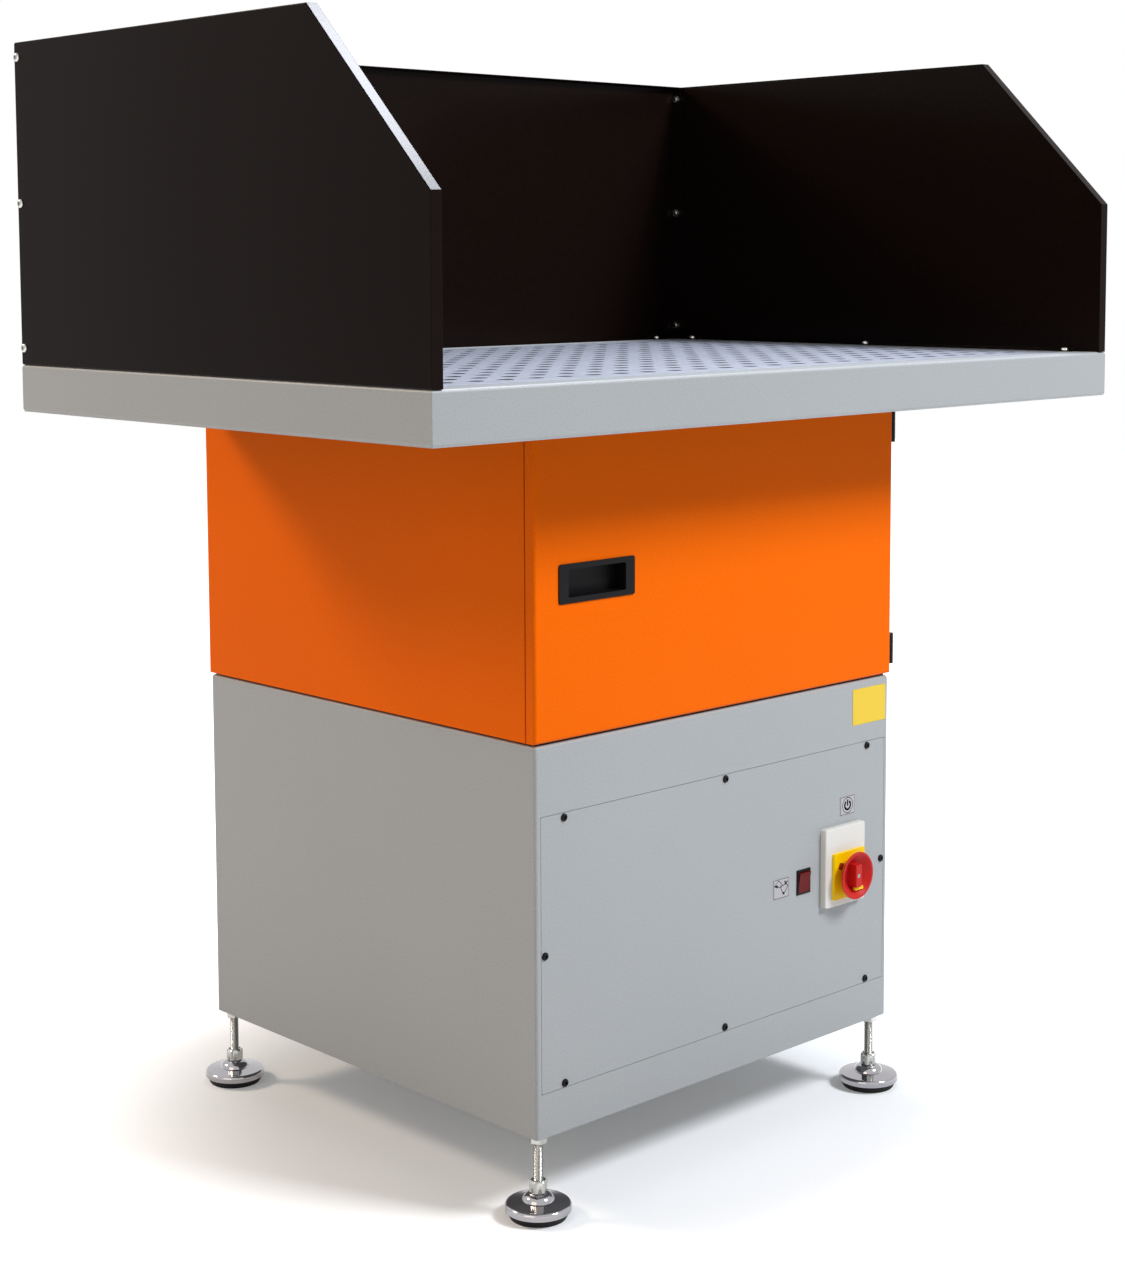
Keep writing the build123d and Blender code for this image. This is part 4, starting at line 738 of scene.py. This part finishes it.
def make_foam_strips():
    """Foam in the joint between the cassettes, and at the bottom of the lower one."""
    shape = bmesh.new()
    for middle in (cassette_low.z + FOAM_HEIGHT / 2, cassette_high.z):
        low = (cassette_low.x, cassette_low.y - FOAM_PROUD, middle - FOAM_HEIGHT / 2)
        high = (cassette_high.x, cassette_low.y + FOAM_ROOT, middle + FOAM_HEIGHT / 2)
        add_bar(shape, low, high)
    finish_piece("filter_foam_strips", shape, BLACK_RUBBER, "table")


make_foam_strips()
print("foam strips", FOAM_HEIGHT / MM, "mm high")

# %% [markdown]
# The lower cassette is pulled out by a strap of nylon webbing that two rivets hold. The strap lies
# flat at both ends and bows out between them. The bow is a squared sine, because that curve leaves
# the frame and comes back to it without a kink.

# %% Pull strap of the filter cassette
STRAP_LENGTH = 170 * MM
STRAP_WIDTH = 26 * MM
STRAP_THICKNESS = 1.8 * MM
STRAP_BOW = 13 * MM
STRAP_TAB = 24 * MM
STRAP_STEPS = 40
RIVET_RADIUS = 4.5 * MM
RIVET_FLATNESS = 0.45
RIVET_SIDES = 24
strap_height = (cassette_low.z + cassette_high.z) / 2


def make_pull_strap():
    """A band that bows out between two flat ends."""
    shape = bmesh.new()
    half = STRAP_WIDTH / 2
    rings = []
    for step in range(STRAP_STEPS + 1):
        x = STRAP_LENGTH * (step / STRAP_STEPS - 0.5)
        free = max(0.0, 1 - abs(x) / (STRAP_LENGTH / 2 - STRAP_TAB))
        back = cassette_low.y - STRAP_BOW * math.sin(math.pi / 2 * free) ** 2
        front = back - STRAP_THICKNESS
        corners = ((back, -half), (back, half), (front, half), (front, -half))
        rings.append([shape.verts.new((x, y, strap_height + z)) for y, z in corners])
    add_skin(shape, rings)
    finish_piece("filter_pull_strap", shape, BLACK_NYLON, "table")


def make_rivets():
    """A domed rivet in the middle of each flat end."""
    shape = bmesh.new()
    for side in (-1, 1):
        x = side * (STRAP_LENGTH - STRAP_TAB) / 2
        place = Matrix.Translation((x, cassette_low.y - STRAP_THICKNESS, strap_height))
        flat = Matrix.Diagonal((RIVET_RADIUS, RIVET_RADIUS * RIVET_FLATNESS, RIVET_RADIUS, 1.0))
        bmesh.ops.create_uvsphere(
            shape, u_segments=RIVET_SIDES, v_segments=RIVET_SIDES // 2, radius=1.0,
            matrix=place @ flat,
        )
    finish_piece("filter_strap_rivets", shape, ZINC, "table")


make_pull_strap()
make_rivets()
print("strap", round(STRAP_LENGTH / MM), "mm long")

# %% [markdown]
# The levelling spindles are M12 screws. The solid model has them as plain rods of 12 mm, because a
# modelled thread is heavy and moves nothing. Here each spindle is made again with its thread, its
# hexagon and its round end in the pad, exactly where the plain one is. The thread is one helix: in
# every ring of points the radius goes in and out by the thread's profile once, and from ring to
# ring that profile is turned a little further.

# %% Thread
SPINDLE_RADIUS = 6 * MM
THREAD_PITCH = 1.75 * MM
THREAD_DEPTH = 0.95 * MM
THREAD_SIDES = 24
RINGS_PER_PITCH = 6
CREST_SHARE = 0.12


def thread_radius(phase):
    """Radius at a phase of 0 to 1 through one pitch: a V with a blunt crest and a blunt root."""
    from_crest = abs(phase - 0.5) * 2
    depth = min(1.0, max(0.0, (from_crest - CREST_SHARE) / (1 - 2 * CREST_SHARE)))
    return SPINDLE_RADIUS - THREAD_DEPTH * depth


def ring_point(shape, centre, radius, angle, height):
    """A new vertex on a circle round a vertical axis."""
    x, y = centre[0] + radius * math.cos(angle), centre[1] + radius * math.sin(angle)
    return shape.verts.new((x, y, height))


def add_thread(shape, centre, low, high):
    """A threaded rod between two heights."""
    rows = int((high - low) / THREAD_PITCH * RINGS_PER_PITCH)
    rings = []
    for row in range(rows + 1):
        height = low + (high - low) * row / rows
        ring = []
        for side in range(THREAD_SIDES):
            turn = side / THREAD_SIDES
            radius = thread_radius(((height - low) / THREAD_PITCH - turn) % 1.0)
            ring.append(ring_point(shape, centre, radius, 2 * math.pi * turn, height))
        rings.append(ring)
    add_skin(shape, rings)


print("thread from", round(thread_radius(0.5) / MM, 2), "to", round(thread_radius(0) / MM, 2), "mm")

# %% [markdown]
# The hexagon is turned down at both ends, which cuts its corners off in a cone, and its top has a
# shallow cup. Each ring is the hexagon, cut off at some reach from the axis: where the reach is less
# than half the width across flats, what is left is a circle.

# %% Hexagon
HEX_SIDES = 72
HEX_CHAMFER = 1.6 * MM
HEX_BOTTOM_SHARE = 0.90
HEX_TOP_SHARE = 0.93
HEX_CUP_RADIUS = 7.5 * MM
HEX_CUP_DEPTH = 3 * MM
HEX_CUP_TAPER = 0.92
OUTSIDE_CUP = HEX_CUP_RADIUS + 1 * MM


def add_hexagon(shape, centre, low, high, flats):
    """A hexagon with turned corners and a shallow cup in its top, as one closed skin."""
    inner = flats / 2
    corner = inner / math.cos(math.pi / 6)
    profile = (
        (low, inner * HEX_BOTTOM_SHARE),
        (low + HEX_CHAMFER, corner),
        (high - HEX_CHAMFER, corner),
        (high, inner * HEX_TOP_SHARE),
        (high, HEX_CUP_RADIUS),
        (high - HEX_CUP_DEPTH, HEX_CUP_RADIUS * HEX_CUP_TAPER),
    )
    rings = []
    for height, reach in profile:
        ring = []
        for side in range(HEX_SIDES):
            angle = 2 * math.pi * side / HEX_SIDES
            from_flat = (angle + math.pi / 6) % (math.pi / 3) - math.pi / 6
            radius = min(reach, inner / math.cos(from_flat))
            ring.append(ring_point(shape, centre, radius, angle, height))
        rings.append(ring)
    add_skin(shape, rings)


def hexagon_top(foot, centre):
    """The height of the highest point of a plain spindle that lies outside the cup."""
    corners = [v.co for v in frame["nodes"]["foot_spindle_" + foot].data.vertices]
    return max(c.z for c in corners if math.dist((c.x, c.y), centre) > OUTSIDE_CUP)


print("hexagon with a cup", HEX_CUP_DEPTH / MM, "mm deep")

# %% [markdown]
# Each spindle is the round end, the hexagon on the pad and the thread above it. The piece stands for
# the plain spindle of its foot and rides with that foot.

# %% Four threaded spindles
FEET = ("front_left", "front_right", "rear_left", "rear_right")
ROUND_END_RADIUS = 7.6 * MM
ROUND_END_SIDES = 32


def make_spindle(foot):
    """One spindle with its thread, in place of the plain one."""
    low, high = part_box("foot_spindle_" + foot)
    pad_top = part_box("foot_pad_" + foot)[1].z
    centre = ((low.x + high.x) / 2, (low.y + high.y) / 2)
    flats = min(high.x - low.x, high.y - low.y)
    hex_top = hexagon_top(foot, centre)
    shape = bmesh.new()
    bmesh.ops.create_cone(
        shape, cap_ends=True, segments=ROUND_END_SIDES,
        radius1=ROUND_END_RADIUS, radius2=ROUND_END_RADIUS, depth=pad_top - low.z,
        matrix=Matrix.Translation((*centre, (pad_top + low.z) / 2)),
    )
    add_hexagon(shape, centre, pad_top, hex_top, flats)
    add_thread(shape, centre, hex_top - HEX_CUP_DEPTH, high.z)
    spindle = finish_piece("threaded_spindle_" + foot, shape, ZINC, "foot_" + foot)
    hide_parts("foot_spindle_" + foot)


for foot_name in FEET:
    make_spindle(foot_name)
print("spindles made with a pitch of", THREAD_PITCH / MM, "mm")

# %% [markdown]
# The photograph was taken with a long lens from a little above the work surface, about 43 degrees
# to the left of the front. The position was solved from the table's corners. Its verticals run
# nearly parallel, as with a shifted lens, so the camera looks only slightly down and has a shift.

# %% Camera
SENSOR_WIDTH = 36.0
LENS = 63.535
LENS_SHIFT = -0.1328
CAMERA_PLACE = (-2.0586, -2.1476, 1.1340)
CAMERA_YAW, CAMERA_PITCH, CAMERA_ROLL = 43.348, 5.426, -0.238


def make_camera():
    """The camera at the photograph's place, with its lens."""
    data = bpy.data.cameras.new("camera")
    data.sensor_fit = "AUTO"
    data.sensor_width = SENSOR_WIDTH
    data.lens = LENS
    data.shift_y = LENS_SHIFT
    camera = new_object("camera", data)
    camera.matrix_world = (
        Matrix.Translation(CAMERA_PLACE)
        @ Matrix.Rotation(math.radians(-CAMERA_YAW), 4, "Z")
        @ Matrix.Rotation(math.radians(90 - CAMERA_PITCH), 4, "X")
        @ Matrix.Rotation(math.radians(CAMERA_ROLL), 4, "Z")
    )
    bpy.context.scene.camera = camera


make_camera()
print("camera", CAMERA_PLACE, "lens", LENS)

# %% [markdown]
# The studio is white. To the camera and to reflections the floor is nearly white too, and it glows.
# Away from the object it glows as brightly as the white world, so that it runs into it without an
# edge. Near the object it glows only weakly, and keeps the shadow. For the light that it throws
# back on the object the same floor is greyer and doesn't glow, as a real studio floor, so that the
# faces keep contrast.

# %% Floor and world
FLOOR_REACH = 9.0
FLOOR_DROP = 0.5 * MM
FLOOR_SEEN = "#F4F8FC"
FLOOR_LIT = "#D0D0D0"
FLOOR_SHADE_REACH = 0.38
FLOOR_WHITE_REACH = 0.88
SHADE_GLOW = 0.14
WORLD_FILL = 0.22


def seen_directly(owner):
    """One for camera, glossy and transmission rays, and zero for the light between surfaces."""
    rays = add_node(owner, "LightPath")
    pair = {0: rays.outputs["Is Camera Ray"], 1: rays.outputs["Is Glossy Ray"]}
    seen = add_node(owner, "Math", pair, operation="MAXIMUM")
    both = {0: seen.outputs["Value"], 1: rays.outputs["Is Transmission Ray"]}
    return add_node(owner, "Math", both, operation="MAXIMUM").outputs["Value"]


def floor_material():
    """Pale and glowing where it is seen, greyer where it lights the object."""
    material = new_material("studio_floor")
    direct = seen_directly(material)
    tone = add_node(
        material, "Mix", {"Factor": direct},
        data_type="RGBA", A=colour(FLOOR_LIT), B=colour(FLOOR_SEEN),
    )
    place = add_node(material, "TexCoord").outputs["Object"]
    distance = add_node(material, "VectorMath", {0: place}, operation="LENGTH")
    glow = add_node(
        material, "MapRange", {"Value": distance.outputs["Value"]}, interpolation_type="SMOOTHSTEP",
        From_Min=FLOOR_SHADE_REACH, From_Max=FLOOR_WHITE_REACH, To_Min=SHADE_GLOW, To_Max=1.0,
    )
    pair = {0: direct, 1: glow.outputs["Result"]}
    strength = add_node(material, "Math", pair, operation="MULTIPLY").outputs["Value"]
    surface = {"Base Color": tone.outputs["Result"], "Emission Strength": strength}
    return end_material(
        material, surface, Roughness=0.9, Specular_IOR_Level=0.0, Emission_Color=WHITE,
    )


def make_floor():
    """A large floor, a hair below the soles."""
    shape = bmesh.new()
    bmesh.ops.create_grid(shape, x_segments=1, y_segments=1, size=FLOOR_REACH)
    mesh = bpy.data.meshes.new("studio_floor")
    shape.to_mesh(mesh)
    shape.free()
    mesh.materials.append(floor_material())
    floor = new_object("studio_floor", mesh)
    floor.location = (0, 0, -FLOOR_DROP)


def make_world():
    """White to the camera and reflections, a weak plain fill for everything else."""
    world = bpy.data.worlds.new("studio")
    bpy.context.scene.world = world
    world.use_nodes = True
    world.node_tree.nodes.clear()
    strength = add_node(
        world, "MapRange", {"Value": seen_directly(world)}, To_Min=WORLD_FILL, To_Max=1.0,
    )
    background = add_node(
        world, "Background", {"Strength": strength.outputs["Result"]}, Color=WHITE,
    )
    add_node(world, "OutputWorld", {"Surface": background.outputs["Background"]})


make_floor()
make_world()
print("floor", 2 * FLOOR_REACH, "m wide, in a white world")

# %% [markdown]
# Four soft lamps light the table. The main one stands in front on the right and high up, so
# that the table's overhang throws a soft shadow over the top of the door. A wide, slightly warm one
# on the left fills that side, and a smaller one behind it on the left draws the diagonal shadow of
# the table's rear corner there. The last one hangs high over the table on the right, where the
# chamfer of the left splash panel mirrors it towards the camera. The right chamfer mirrors only
# the white room, and stays grey.

# %% Lamps
TABLE_MIDDLE = (0, 0, 0.7)
LEFT_CHAMFER = (-0.6, -0.3, 1.3)
DAYLIGHT = "#FCFDFF"
WARM_LIGHT = "#FFE9D2"
COOL_LIGHT = "#F2F6FF"


def add_lamp(name, place, target, width, power, tint):
    """A square area lamp that looks at a point."""
    data = bpy.data.lights.new(name, "AREA")
    data.shape = "SQUARE"
    data.size = width
    data.energy = power
    data.color = colour(tint)[:3]
    lamp = new_object(name, data)
    lamp.location = place
    lamp.rotation_euler = (Vector(target) - Vector(place)).to_track_quat("-Z", "Y").to_euler()


add_lamp("front_lamp", (1.5, -3.2, 3.7), TABLE_MIDDLE, width=1.2, power=182, tint=DAYLIGHT)
add_lamp("left_lamp", (-3.8, -1.2, 1.6), TABLE_MIDDLE, width=2.4, power=25, tint=WARM_LIGHT)
add_lamp("left_rear_lamp", (-2.5, 2.9, 3.0), TABLE_MIDDLE, width=0.9, power=84, tint=WARM_LIGHT)
add_lamp("chamfer_lamp", (1.13, -0.10, 3.49), LEFT_CHAMFER, width=0.6, power=74, tint=COOL_LIGHT)
print("lamps lit:", len(bpy.data.lights))

# %% [markdown]
# The view transform stays plain, so that a colour renders as it is written.

# %% View transform
bpy.context.scene.view_settings.view_transform = "Standard"
